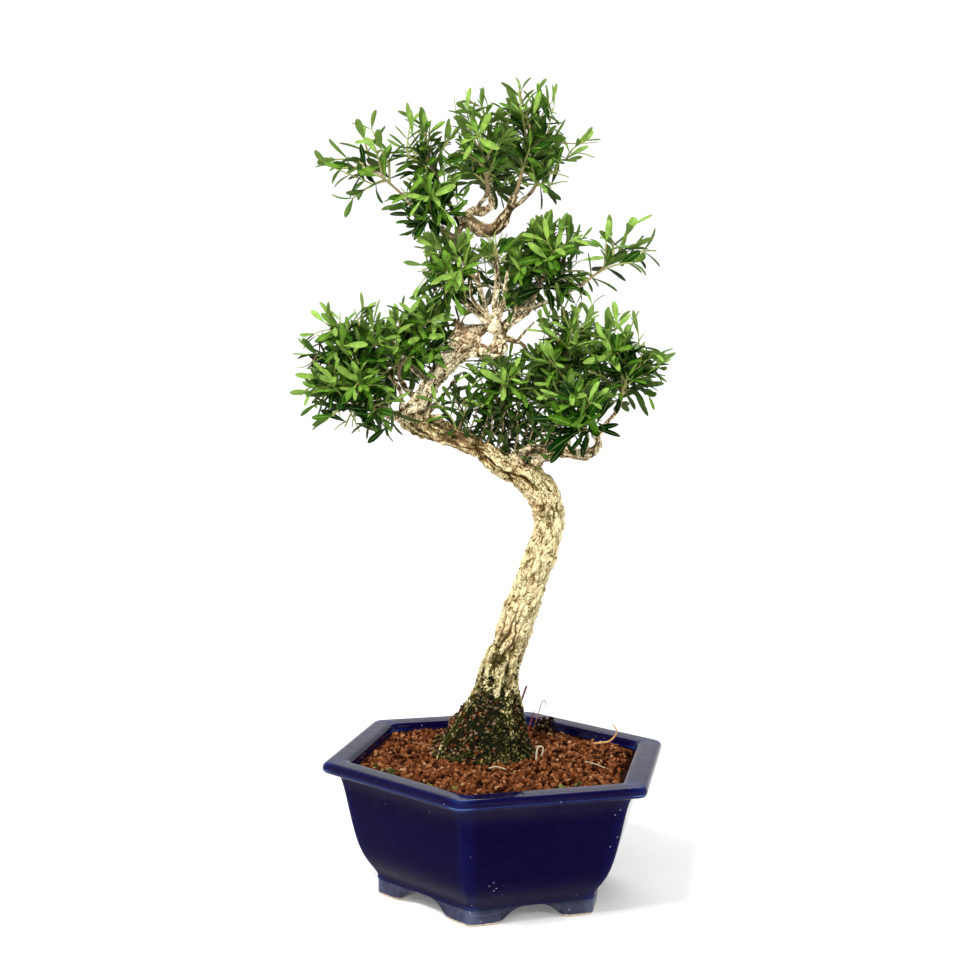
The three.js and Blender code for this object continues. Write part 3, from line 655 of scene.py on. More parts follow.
@dataclass(frozen=True)
class Bark:
    """Corky bark: cream plates with brown cracks, browner where it is weathered, green near the ground.

    It reads the marks relief, from 0 in a crack to 1 on a plate, weather and mossy, from 0 to 1.
    """

    crack: tuple = (0.07, 0.042, 0.008)
    groove: tuple = (0.32, 0.215, 0.078)
    plate: tuple = (0.58, 0.46, 0.235)
    crest: tuple = (0.82, 0.73, 0.43)
    peach: tuple = (0.8, 0.5, 0.29)
    algae: tuple = (0.032, 0.03, 0.006)
    lichen: tuple = (0.62, 0.6, 0.2)
    stops: tuple = (0.12, 0.35, 0.57, 0.82)  # heights of the first four colours

    def material(self, name: str) -> Material:
        """Makes the bark: a ramp read by the relief, with fine lines where noise crosses its middle.

        Args:
            name: name of the material.

        Returns:
            The finished material.
        """
        wiring = Wiring(name, 0.9, Specular_IOR_Level=0.05)
        fine = wiring.grain(1300, 5, (1, 1, 0.6))
        line = wiring.grain(680, 1.5, (1, 1, 0.7))
        line = wiring.ramp(line, (0.44, BLACK), (0.5, WHITE), (0.56, BLACK))
        broken = wiring.ramp(wiring.grain(260, 2), (0.38, BLACK), (0.55, WHITE))
        line = wiring.times(line, broken)
        height = wiring.plus(wiring.mark("relief"), wiring.times(fine, 0.6))
        height = wiring.minus(height, wiring.times(line, 0.7))
        height = wiring.minus(height, wiring.times(wiring.mark("weather"), 0.27))
        height = wiring.minus(height, 0.22)
        wood = wiring.ramp(height, *zip(self.stops, (self.crack, self.groove, self.plate, self.crest)))
        blotch = wiring.ramp(wiring.grain(60, 4), (0.48, BLACK), (0.72, WHITE))
        wood = wiring.mix(wiring.times(blotch, 0.35), wood, self.peach)
        mossy = wiring.mark("mossy")
        wood = wiring.mix(wiring.times(mossy, 0.3), wood, self.lichen)
        hollow = wiring.minus(1.2, wiring.times(height, 1.5))
        green = wiring.times(mossy, wiring.times(hollow, 1.8))
        wood = wiring.mix(wiring.math("MINIMUM", green, 1.0), wood, self.algae)
        return wiring.finish(wood, height, 0.0009, 1.0)


@dataclass(frozen=True)
class Twigwood:
    """Skin of the twigs: grey-brown on old wood, yellow-green on young, by the mark young."""

    old: tuple = (0.2, 0.135, 0.07)
    tan: tuple = (0.42, 0.32, 0.16)
    green: tuple = (0.27, 0.36, 0.075)

    def material(self, name: str) -> Material:
        """Makes the twigs' skin.

        Args:
            name: name of the material.

        Returns:
            The finished material.
        """
        wiring = Wiring(name, 0.7, Specular_IOR_Level=0.15)
        fine = wiring.grain(1600, 4)
        age = wiring.plus(wiring.mark("young"), wiring.times(fine, 0.3))
        colour = wiring.ramp(age, (0.15, self.old), (0.45, self.tan), (1.0, self.green))
        return wiring.finish(colour, fine, 0.0002, 0.5)


class Tone(Enum):
    """Greens of the leaves, from the darkest of old leaves, which also paint the shade inside and under the
    crown, to the palest of its newest shoots.
    """

    SHADE = (0.0015, 0.018, 0.0003)
    DEEP = (0.011, 0.056, 0.001)
    MIDDLE = (0.041, 0.122, 0.004)
    FRESH = (0.098, 0.215, 0.018)
    NEW = (0.2, 0.34, 0.055)

    @property
    def number(self) -> int:
        """Place of the tone in the list of the leaves' materials."""
        return list(Tone).index(self)


@dataclass(frozen=True)
class LeafSkin:
    """Leaf surface: its tone, with a paler midrib by the mark across."""

    rib: tuple = (0.36, 0.46, 0.13)
    olive: tuple = (0.13, 0.19, 0.05)

    def upper(self, tone: Tone) -> Material:
        """Glossy upper side in one tone.

        Args:
            tone: the leaf's tone.

        Returns:
            The finished material.
        """
        wiring = Wiring(f"leaf {tone.name.lower()}", 0.42, Specular_IOR_Level=0.04)
        patch = wiring.grain(260, 3)
        dark = tuple(0.64 * c for c in tone.value)
        light = tuple(1.32 * c for c in tone.value)
        colour = wiring.ramp(patch, (0.3, dark), (0.7, light))
        rib = wiring.ramp(wiring.mark("across"), (0.04, WHITE), (0.16, BLACK))
        share = 0.3 if tone in (Tone.SHADE, Tone.DEEP) else 0.5
        colour = wiring.mix(wiring.times(rib, share), colour, self.rib)
        return wiring.finish(colour, wiring.grain(900, 3), 0.0001, 0.35)

    def under(self, tone: Tone) -> Material:
        """Matt, paler underside that goes with a tone.

        Args:
            tone: the leaf's tone.

        Returns:
            The finished material.
        """
        wiring = Wiring(f"leaf underside {tone.name.lower()}", 0.6, Specular_IOR_Level=0.08)
        base = tuple(lerp(c, pale, 0.42) for c, pale in zip(tone.value, self.olive))
        dark = tuple(0.75 * c for c in base)
        colour = wiring.ramp(wiring.grain(260, 3), (0.3, dark), (0.7, base))
        return wiring.finish(colour, wiring.grain(900, 3), 0.0001, 0.3)


# Pot


@dataclass
class Pot:
    """Hexagonal pot with a rolled lip, a tapering body and six shaped feet."""

    turn: float = np.radians(-100.85)  # direction of the front corner
    sides: int = 6
    base: float = 8.6
    floor: float = 16.0
    drain: float = 9.0
    lip_rounding: float = 6.0
    body_rounding: float = 4.2
    arc_steps: int = 10
    flat_steps: int = 14
    # Height and corner radius, from the underside up the outside and over the lip to the floor.
    profile: tuple = (
        (8.6, 67), (8.7, 68.0), (9.0, 68.5), (9.5, 68.6), (9.9, 68.4), (10.6, 68.4), (12.5, 69.3),
        (15, 71.2), (18, 73.6), (22, 76.3), (27, 78.8), (33, 81), (40, 83), (48, 85), (56, 86.9),
        (62, 88.6), (66, 90.4), (68, 92.6), (68.7, 95.2), (68.9, 97.6), (69.5, 99.1), (70.6, 99.8),
        (71.8, 99.9), (73, 99.6), (74.1, 98.6), (74.7, 97), (74.8, 95), (74.75, 91), (74.6, 87.5),
        (74.1, 85.6), (73, 84.5), (70, 83.4), (66, 82.2), (60, 80.5), (54, 78.5), (40, 75),
        (27, 70.5), (18.5, 64.5), (16, 60),
    )
    # Foot: outer corner radius, wall, half widths of the flat and of the top, and its corner's rounding.
    foot_radius: float = 67.9
    foot_wall: float = 11.0
    foot_flat: float = 12.5
    foot_top: float = 28.5
    foot_rounding: float = 4.0
    foot_edge: float = 1.3
    foot_sink: float = 0.15  # how far a foot's top goes into the pot's base
    bare_height: float = 2.2  # the clay shows below this height
    lip_height: float = 68.8  # the lip's glossier glaze starts at this height
    inside_from: float = 0.72  # share of the rings from which they lie inside the pot
    # Middle height, width and strength of the lip's lighter lines, and of the bands of grime. The lines at
    # the lip's two roundings are partly thinner glaze and partly a painted highlight; the one at 70.8 is a
    # painted highlight.
    lip_highlight_lines: tuple = ((69.4, 0.5, 0.25), (74.4, 0.5, 0.25), (70.8, 0.42, 0.62))
    grime_bands: tuple = ((65, 4.5, 0.07), (11, 7, 0.09))

    def outline(self, radii: Array, rounding: Array) -> tuple[Array, Array]:
        """Rounded hexagons of the given corner radii.

        A corner is an arc about a centre on the corner's line, and a side is a straight blend
        from the end of one arc to the start of the next.

        Args:
            radii: corner radius of each ring.
            rounding: radius of the corners' arcs of each ring.

        Returns:
            Points of the rings in plan, and how near each point round lies to a corner.
        """
        half = np.pi / self.sides
        corner = np.arange(self.sides)[:, None] * 2 * half + self.turn
        swing = np.linspace(-half, half, self.arc_steps + 1)
        centre = radii - rounding / np.sin(2 * half)
        out = on_circle(corner + 0 * swing)
        arc = on_circle(corner + swing)
        arcs = centre[:, None, None, None] * out + rounding[:, None, None, None] * arc
        following = np.roll(arcs, -1, axis=1)[:, :, :1]
        share = (np.arange(1, self.flat_steps) / self.flat_steps)[:, None]
        flats = lerp(arcs[:, :, -1:], following, share)
        away = 2 * np.minimum(share[:, 0], 1 - share[:, 0])
        near = np.concatenate([np.ones(self.arc_steps + 1), np.exp(-away * 5)])
        return np.concatenate([arcs, flats], axis=2).reshape(len(radii), -1, 2), np.tile(near, self.sides)

    def shell(self) -> Piece:
        """The pot's wall and floor: its outline carried up a profile, closed round the drain hole.

        Returns:
            The piece, with glossier glaze on its lip.
        """
        piece = Piece("glazed_pot")
        samples = np.linspace(0, 1, 4 * (len(self.profile) - 1) + 1)
        heights, radii = smooth_route(np.array(self.profile), samples).T
        rim = eased(60, 70, heights)
        plan, near = self.outline(radii, lerp(self.body_rounding, self.lip_rounding, rim))
        angle = np.arctan2(plan[0, :, 1], plan[0, :, 0])
        drain = self.drain * on_circle(angle)
        plan = np.concatenate([drain[None], plan, drain[None]])
        heights = np.concatenate([[self.base], heights, [self.floor]])
        rings, around = plan.shape[:2]
        inside = np.arange(rings)[:, None] > rings * self.inside_from
        lip = eased(67.5, 70, heights)[:, None] * (1 - 0.45 * eased(74.2, 74.7, heights)[:, None])
        line = bell(heights - 9.6, 0.8)[:, None]
        # The lip's lines: partly thinner glaze at its roundings and partly painted highlight, with a painted
        # highlight line at 70.8.
        edges = bands(heights, self.lip_highlight_lines)[:, None]
        thin = 0.02 + 0.3 * near**40 + 0.07 * lip + 0.3 * line + edges - 0.2 * inside
        faces = band_faces(rings + 1, around) % (rings * around)
        glossy = np.append(heights, self.base)[faces // around].max(axis=1) > self.lip_height
        grime = bands(heights, self.grime_bands)[:, None] + 0 * near
        piece.add(raised(plan, heights), [faces], [glossy.astype(int)], thin=thin, grime=grime)
        return piece

    def feet(self) -> Piece:
        """The six feet: walls that follow a corner, cut below by S-curved arches.

        The plan line runs along one side, round the corner's arc and along the other side. The
        section across it is a box with rounded lower edges, and its lower edge rises from the
        flat to the top by half a cosine wave.

        Returns:
            The piece, with bare clay at its lower edges.
        """
        piece = Piece("pot_feet")
        half = np.pi / self.sides
        reach = np.linspace(-self.foot_top, self.foot_top, 57)
        arc = self.foot_rounding * half
        bend = np.clip(reach / arc, -1, 1) * half
        past = np.maximum(np.abs(reach) - arc, 0) * np.sign(reach)
        centre = self.foot_radius - self.foot_rounding / np.cos(half)
        normal = on_circle(bend)
        along = np.stack([-np.sin(bend), np.cos(bend)], axis=-1)
        outer = np.array([centre, 0]) + self.foot_rounding * normal + past[:, None] * along
        rise = np.clip((np.abs(reach) - self.foot_flat) / (self.foot_top - self.foot_flat), 0, 1)
        top = self.base + self.foot_sink
        low = (top - 0.35) * (1 - np.cos(np.pi * rise)) / 2
        edge = np.minimum(self.foot_edge, (top - low) * 0.45)
        wedge = np.minimum(self.foot_wall, 0.5 * self.foot_wall + np.abs(reach))
        turns = np.linspace(0, np.pi / 2, 5)
        outer_in = edge[:, None] * (1 - np.cos(turns))
        outer_up = low[:, None] + edge[:, None] * (1 - np.sin(turns))
        inner_in = wedge[:, None] - outer_in[:, ::-1]
        inner_up = outer_up[:, ::-1]
        level = np.full((len(reach), 1), top)
        depth = np.concatenate([0 * level, outer_in, inner_in, wedge[:, None]], axis=1)
        height = np.concatenate([level, outer_up, inner_up, level], axis=1)
        plan = outer[:, None] - normal[:, None] * depth[..., None]
        faces = closed_faces(*height.shape)
        bare = height.ravel()[faces[0]].max(axis=1) < self.bare_height
        thin = 0.3 + 0.25 * bell(reach, 5)[:, None] + 0.3 * (height < 2.5) + 0.3 * (height >= top)
        for corner in range(self.sides):
            angle = self.turn + corner * 2 * half
            spin = np.array([[np.cos(angle), np.sin(angle)], [-np.sin(angle), np.cos(angle)]])
            points = np.concatenate([plan @ spin, height[..., None]], axis=-1)
            piece.add(points, faces, [bare.astype(int), 0, 0], thin=thin)
        return piece

    def dress(self) -> None:
        """Builds the pot and its feet with their glaze."""
        glaze = Glaze()
        worn = Glaze(
            thick=(0.006, 0.006, 0.015), middle=(0.013, 0.013, 0.03), thin=(0.036, 0.04, 0.078),
            painted_highlight=(0.06, 0.07, 0.12), dust=(0.082, 0.087, 0.115),
        )
        finishes = [glaze.material("glaze", 0.015, 0.02), glaze.material("lip glaze", 0.012, 0.075)]
        self.shell().build(finishes, ["pot"], "glaze")
        feet = [f"foot_{n + 1}" for n in range(self.sides)]
        clay = Grit(
            (0.62, 0.5, 0.36), (0.36, 0.27, 0.19), roughness=0.85, specular=0.5,
            mottle=(400, 0.35, 0.65), pits=(900, 0.0003, 0.5),
        )
        finishes = [worn.material("worn glaze", 0.7, 0.13), clay.material("bare clay")]
        self.feet().build(finishes, feet, "foot_glaze")


# Ground


@dataclass
class Ground:
    """Clay grains that fill the pot, the mound over the roots, and what lies on them."""

    pot: Pot
    # Heights of the bed's top at shares of the way from the level round out to the wall.
    top: tuple = ((72.7, 0), (72.6, 0.28), (72.3, 0.48), (71.7, 0.66), (70.8, 0.84), (69.8, 1))
    level: tuple = (-9, 8, 30.5)  # centre and radius of the level round that the mound stands on
    edge: tuple = (82.8, 8.0)  # corner radius and rounding of the bed's top at the wall
    clod_rise: tuple = (-0.7, 1.5)
    clod_full: float = 0.4
    clod_seed: int = 5
    clod_blend: float = 4.5
    # Radius and height of the bed's wall.
    wall: tuple = ((59.3, 16.5), (64, 18.6), (70, 27), (74.5, 40), (78, 54), (81.5, 66), (82.8, 69.8))
    wall_rounding: float = 7.0
    bed_shares: tuple = (1, 0.97, 0.93, 0.87, 0.8, 0.7, 0.58, 0.44, 0.3, 0.15, 0.02)  # rings of its top
    bed_depth: float = 1.8  # how far the bed lies below the tops of the clods
    # Grains: step of the lattice and its rows to either side, radii, and how many are strewn on top.
    lattice: float = 2.6
    rows: int = 38
    grain_radius: tuple = (1.0, 1.75)
    strewn: int = 2100
    strewn_reach: float = 85.0
    lattice_lift: tuple = (-1.9, -1.1)  # middles of the grains above the tops of the clods
    strewn_lift: tuple = (-0.9, 0.1)
    grains_reach: float = 71.0  # distance of the wall from the pot's axis
    grains_clear: tuple = (-8.5, 8, 25.5)  # centre and radius of the round under the mound without grains
    clod_shares: tuple = (0.36, 0.3, 0.17, 0.14, 0.03)
    # Height, centre and radius of the mound, from the soil to where it meets the trunk.
    mound: tuple = (
        (72.4, -9, 8, 29), (75, -8.6, 8, 27), (79, -8, 8, 25), (86, -6.6, 8, 21.4), (94, -5.2, 8, 17.4),
        (101, -3.4, 7.8, 13.2), (107, -2, 7.6, 10.8), (110, -1.4, 7.5, 8.6),
    )
    crumbs: int = 4600
    climbing: int = 900
    moss_line: float = 104.0
    mound_grid: tuple = (70, 150)  # rings of the mound and points round each
    heap: tuple = (28, 56, 75.5)  # middle of a small dark heap of crumbs
    heap_spread: tuple = (3.0, 2.4, 2.3)
    heap_crumbs: int = 160
    # Materials are numbered clods first and then mosses. The bed takes the darkest clay, as painted shade in
    # the gaps between grains.
    gap_shade_clod: int = 3
    dark_moss: int = 7
    clods: tuple = (
        Grit((0.23, 0.076, 0.025), (0.07, 0.017, 0.005)),
        Grit((0.14, 0.042, 0.013), (0.03, 0.006, 0.001)),
        Grit((0.35, 0.145, 0.058), (0.14, 0.042, 0.014)),
        # near black: painted shade on the bed between the grains, and the own tone of some dark grains and
        # crumbs
        Grit((0.03, 0.007, 0.002), (0.006, 0.001, 0.0004)),
        Grit((0.48, 0.28, 0.14), (0.24, 0.1, 0.04)),
    )
    mosses: tuple = (
        Grit((0.07, 0.07, 0.016), (0.012, 0.015, 0.004)),
        Grit((0.23, 0.2, 0.065), (0.06, 0.055, 0.014)),
        Grit((0.014, 0.014, 0.006), (0.003, 0.003, 0.001)),
        Grit((0.27, 0.19, 0.11), (0.08, 0.05, 0.025)),
    )
    sticks: tuple = (
        Grit((0.3, 0.06, 0.05), (0.16, 0.03, 0.03)),
        Grit((0.62, 0.55, 0.38), (0.42, 0.33, 0.2)),
        Grit((0.36, 0.2, 0.1), (0.16, 0.08, 0.04)),
        Grit((0.66, 0.38, 0.17), (0.4, 0.2, 0.08)),
    )
    # Litter: points of each with its height over the soil, its radii at both ends and its material.
    strands: tuple = (
        (((4.5, 24, 1), (9, 23, 15), (15, 22, 34)), 0.75, 0.6, 0),
        (((17, 50, 0), (18.5, 50, 6), (20.5, 50, 13)), 0.5, 0.3, 0),
        (((20.6, -11.3, 0), (20.7, -11.3, 4.6), (21.8, -11, 7.6), (23.9, -11, 7.2), (24.1, -11.2, 4.8),
          (23.2, -11.4, 2.6)), 0.6, 0.4, 1),
        (((20.5, 58, 0), (22.6, 58, 8), (25.2, 58, 17.5), (27.2, 58, 18), (27.6, 58, 14)), 0.35, 0.25, 2),
        (((-30.5, 60, 0), (-30, 60.5, 5), (-29, 61, 9)), 0.4, 0.25, 2),
        (((54, 25, 0.8), (61.6, 27, 1.8), (66, 28, 5), (67.5, 28, 9), (64.6, 28, 13)), 0.75, 0.35, 3),
        (((47.2, -13, 1), (52, -19, 1.2), (57.3, -24, 1)), 0.3, 0.25, 1),
        (((-48, 18, 1.1), (-43, 12, 1.5), (-36, 10, 1.2)), 0.35, 0.25, 2),
        (((-5, -32, 1.2), (-1, -30, 1.6), (4, -33, 1.2)), 0.45, 0.3, 1),
    )
    # Places of small tufts of moss on the soil, with their radii.
    tufts: tuple = (
        (-77, -20, 5), (-58, -34, 6), (-38, -55, 6), (-24, -66, 4), (34, -54, 6), (41, -48, 3),
        (-66, -28, 3),
    )

    def lumps(self) -> tuple[Array, Array]:
        """Places and heights of the bed's top, the same as the solid's.

        Places lie on lines from the level round out to points of the wall's outline. At each
        share of the way out the height is the bed's own plus a random rise.

        Returns:
            Places in plan and their heights.
        """
        radius, rounding = self.edge
        outline, _ = self.pot.outline(np.array([radius]), np.array([rounding]))
        step = self.pot.arc_steps
        ring = outline.reshape(self.pot.sides, -1, 2)[:, [0, step // 2, step]]
        following = np.roll(ring, -1, axis=0)[:, 0]
        extra = [lerp(ring[:, 2], following, share) for share in (1 / 3, 2 / 3)]
        edge = np.concatenate([ring, np.stack(extra, axis=1)], axis=1).reshape(-1, 2)
        facing = np.arctan2(edge[:, 1], edge[:, 0])
        *middle, round_radius = self.level
        inner = middle + round_radius * on_circle(facing)
        random = seeded_random(self.clod_seed)
        places, heights = [edge], [np.full(len(edge), self.top[-1][0])]
        for height, share in self.top[-2::-1]:
            rise = np.array([lerp(*self.clod_rise, next(random)) for _ in edge])
            places.append(lerp(inner, edge, share))
            heights.append(height + rise * eased(0, self.clod_full, np.array(share)))
        return np.concatenate(places), np.concatenate(heights)

    def height(self, plan: Array) -> Array:
        """Height of the bed in plan: the clods' heights, blended by bell-shaped weights.

        Args:
            plan: places in plan, with the two coordinates last.

        Returns:
            One height for each place.
        """
        places, heights = self.lumps()
        gap = np.linalg.norm(plan[..., None, :] - places, axis=-1)
        weight = bell(gap, self.clod_blend) + 1e-9
        return (weight * heights).sum(axis=-1) / weight.sum(axis=-1)

    @staticmethod
    def grain() -> tuple[Array, Array]:
        """A ball made of a cube's 24 quarter faces, pushed out to radius 1.

        Returns:
            Its points and faces.
        """
        steps = np.array(list(np.ndindex(3, 3, 3))) - 1
        points = steps[np.abs(steps).max(axis=1) > 0]
        number = {tuple(p): n for n, p in enumerate(points)}
        faces = []
        for axis, sign, u, v in itertools.product(range(3), (-1, 1), (-1, 0), (-1, 0)):
            square = [(u, v), (u + 1, v), (u + 1, v + 1), (u, v + 1)][::sign]
            level = sign * (-1) ** (axis == 1)
            faces.append([number[tuple(np.insert(corner, axis, level))] for corner in square])
        return unit(points.astype(float)), np.array(faces)

    @staticmethod
    def crumb() -> tuple[Array, Array]:
        """A ball of 12 rhombs, each with two axis points and two of a cube's corners.

        Returns:
            Its points and faces.
        """
        axes = [tuple(side * row) for side in (1, -1) for row in np.eye(3, dtype=int)]
        points = [*axes, *(tuple(2 * np.array(corner) - 1) for corner in np.ndindex(2, 2, 2))]
        number = {point: n for n, point in enumerate(points)}
        faces = []
        for first, second in itertools.combinations(axes, 2):
            if not np.dot(first, second):
                across = np.cross(first, second)
                low, high = (tuple(np.add(first, second) + side * across) for side in (-1, 1))
                faces.append([number[first], number[low], number[second], number[high]])
        return unit(np.array(points, float)), np.array(faces)

    @staticmethod
    def scatter(
        piece: Piece, places: Array, radii: Array, slots: Array, random: Random,
        ball: tuple[Array, Array],
    ) -> None:
        """Adds a stretched, turned and dented ball at each place.

        Args:
            piece: piece that takes the grains.
            places: middle of each grain.
            radii: radius of each grain.
            slots: material number of each grain.
            random: source of the grains' shapes.
            ball: points and faces of a ball of radius 1.
        """
        corners, faces = ball
        count = len(places)
        turns = np.linalg.qr(random.normal(size=(count, 3, 3)))[0]
        turns[:, :, 0] *= np.linalg.det(turns)[:, None]
        shape = corners * random.uniform(0.62, 1.2, (count, 1, 3))
        shape = shape * random.uniform(0.78, 1.16, (count, len(corners), 1))
        points = np.einsum("nij,nkj->nki", turns, shape) * radii[:, None, None] + places[:, None]
        every = (faces + np.arange(count)[:, None, None] * len(corners)).reshape(-1, 4)
        piece.add(points, [every], [np.repeat(slots, len(faces))])

    def bed(self, piece: Piece) -> None:
        """Adds the soil under the grains: the pot's inner outline, drawn in over its top, in near-black clay
        as painted shade in the gaps between the grains.

        Args:
            piece: piece that takes the bed.
        """
        radii, heights = np.transpose(self.wall)
        plan, _ = self.pot.outline(radii, np.full(len(radii), self.wall_rounding))
        over = plan[-1] * np.reshape(self.bed_shares, (-1, 1, 1))
        sides = raised(plan, heights)
        crown = np.concatenate([over, self.height(over)[..., None] - self.bed_depth], axis=-1)
        low = sides[:1] * (self.bed_shares[-1], self.bed_shares[-1], 1)
        rings = np.concatenate([low, sides, crown])
        piece.add(rings, closed_faces(*rings.shape[:2]), self.gap_shade_clod)

    def grains(self) -> Piece:
        """Grains on a shaken triangular lattice inside the pot's wall, with more strewn on top.

        Returns:
            The piece.
        """
        piece = Piece("clay_soil")
        random = np.random.default_rng(4)
        self.bed(piece)
        span = np.arange(-self.rows, self.rows + 1)
        column, row = np.meshgrid(span, span)
        plan = np.stack([column + row / 2, row * np.sqrt(0.75)], axis=-1).reshape(-1, 2) * self.lattice
        strewn = random.uniform(-self.strewn_reach, self.strewn_reach, (self.strewn, 2))
        lift = [random.uniform(*self.lattice_lift, len(plan))]
        lift.append(random.uniform(*self.strewn_lift, len(strewn)))
        plan = np.concatenate([plan + random.normal(0, 0.75, plan.shape), strewn])
        radii = random.uniform(*self.grain_radius, len(plan))
        radii = radii * np.where(random.random(len(plan)) < 0.15, 0.7, 1)
        side = self.pot.turn + (np.arange(6) + 0.5) * np.pi / 3
        reach = (plan @ np.stack([np.cos(side), np.sin(side)])).max(axis=1)
        *centre, clear = self.grains_clear
        kept = (reach < self.grains_reach - radii) & (np.linalg.norm(plan - centre, axis=1) > clear)
        plan, lift, radii = plan[kept], np.concatenate(lift)[kept], radii[kept]
        places = np.column_stack([plan, self.height(plan) + lift])
        slots = random.choice(len(self.clods), len(plan), p=self.clod_shares)
        for x, y, size in self.tufts:
            near = np.linalg.norm(plan - (x, y), axis=1) < size * random.uniform(0.5, 1.0, len(plan))
            slots = np.where(near, 5 + random.integers(0, 2, len(plan)), slots)
        self.scatter(piece, places, radii, slots, random, self.grain())
        return piece

    def mound_point(self, turn: Array, share: Array) -> Array:
        """Point of the mound: a smooth profile of circles, broken by lumps of two sizes.

        Args:
            turn: angle round the mound.
            share: share of the way up, from 0 to 1.

        Returns:
            One place for each angle.
        """
        rings = smooth_route(np.array(self.mound, float), np.ravel(share)).reshape(*share.shape, 4)
        height, x, y, radius = np.moveaxis(rings, -1, 0)
        ragged = noise(round_axis(turn, 2.4, 0), 23)
        height = height + 6 * ragged * eased(0.6, 1, share)
        points = round_axis(turn, radius, height, (x, y))
        swell = 1.9 * noise(points / 7, 21) + 1.0 * noise(points / 2.6, 22)
        return points + round_axis(turn, 1, 0.4) * (swell * eased(0, 0.15, 1.02 - share))[..., None]

    def mossy_mound(self) -> Piece:
        """The lumpy mound, and crumbs of clay and moss all over it.

        Returns:
            The piece.
        """
        piece = Piece("root_mound")
        random = np.random.default_rng(9)
        rings, around = self.mound_grid
        turn, share = np.meshgrid(full_turn(around), np.linspace(0, 1, rings))
        piece.add(self.mound_point(turn, share), closed_faces(rings, around), self.dark_moss)
        turn = random.uniform(0, 2 * np.pi, self.crumbs)
        share = random.uniform(0, 1, self.crumbs) ** 1.25
        places = self.mound_point(turn, share)
        radii = random.uniform(0.35, 1.0, self.crumbs) ** 1.3 * 1.15 * np.where(share > 0.7, 0.65, 1)
        mossy = noise(places / 6, 31) + 0.5 * np.cos(turn + 0.6) + 0.25
        mossy = mossy + random.normal(0, 0.35, self.crumbs)
        clay = random.choice((0, 1, 2, 3, 8), self.crumbs, p=(0.07, 0.3, 0.03, 0.35, 0.25))
        moss = random.choice((5, 6, 7, 8), self.crumbs, p=(0.34, 0.13, 0.4, 0.13))
        self.scatter(piece, places, 1.06 * radii, np.where(mossy > 0, moss, clay), random, self.crumb())
        self.climbers(piece, random)
        heap = np.array(self.heap) + random.normal(0, 1, (self.heap_crumbs, 3)) * self.heap_spread
        radii = random.uniform(0.5, 1.2, self.heap_crumbs)
        slots = random.choice((3, 7, 8), self.heap_crumbs, p=(0.5, 0.3, 0.2))
        self.scatter(piece, heap, radii, slots, random, self.crumb())
        return piece

    def climbers(self, piece: Piece, random: Random) -> None:
        """Adds crumbs of moss that climb the trunk, thinning out upwards and gathered in streaks.

        Args:
            piece: piece that takes the crumbs.
            random: source of their places and shapes.
        """
        turn = random.uniform(0, 2 * np.pi, self.climbing)
        streak = noise(round_axis(turn, 3, 0), 33)
        height = self.moss_line + (13 + 16 * streak) * random.uniform(0, 1, self.climbing) ** 2
        shares = np.linspace(0, 0.4, 80)
        path = TRUNK.places(shares)
        middle = [np.interp(height, path[:, 2], path[:, n]) for n in (0, 1)]
        radius = TRUNK.radius(np.interp(height, path[:, 2], shares))
        radius = radius + random.uniform(-0.5, 0.4, self.climbing)
        places = round_axis(turn, radius, height, middle)
        radii = random.uniform(0.4, 0.95, self.climbing)
        slots = 5 + random.choice(3, self.climbing, p=(0.35, 0.25, 0.4))
        self.scatter(piece, places, radii, slots, random, self.crumb())

    def litter(self) -> Piece:
        """Small sticks, threads and a pale sprout that lie or stand on the soil.

        Returns:
            The piece.
        """
        piece = Piece("soil_litter")
        for points, thick, thin, slot in self.strands:
            path = smooth_route(np.array(points, float), np.linspace(0, 1, 28))
            path[:, 2] += self.height(path[:, :2])
            piece.add_tube(path, np.linspace(thick, thin, len(path)), 7, slot)
        return piece

    def dress(self) -> None:
        """Builds the soil, the mound and the litter."""
        clods = [clod.material(f"clay grain {n}") for n, clod in enumerate(self.clods)]
        mosses = [moss.material(f"moss crumb {n}") for n, moss in enumerate(self.mosses)]
        self.grains().build([*clods, *mosses[:2]], ["soil"], "soil")
        self.mossy_mound().build([*clods, *mosses], ["moss_mound"], "moss")
        sticks = [stick.material(f"litter {n}") for n, stick in enumerate(self.sticks)]
        self.litter().build(sticks, [], "soil")


# Wood


@dataclass
class Limb:
    """One tapering limb: its route in places, its radii along it, and how rough and dark its bark is."""

    name: str
    route: tuple
    radii: tuple
    rough: float = 0.5
    weather: float = 0.7

    def places(self, shares: Array) -> Array:
        """Middle of the limb at shares of the way along."""
        return smooth_route(np.array(self.route, float), shares)

    def radius(self, shares: Array) -> Array:
        """Radius of the limb at shares of the way along."""
        return np.interp(shares, np.linspace(0, 1, len(self.radii)), self.radii)

    @property
    def tip(self) -> tuple[Array, Array]:
        """End of the limb and its direction there."""
        last, end = np.array(self.route[-2:], float)
        return end, unit(end - last)


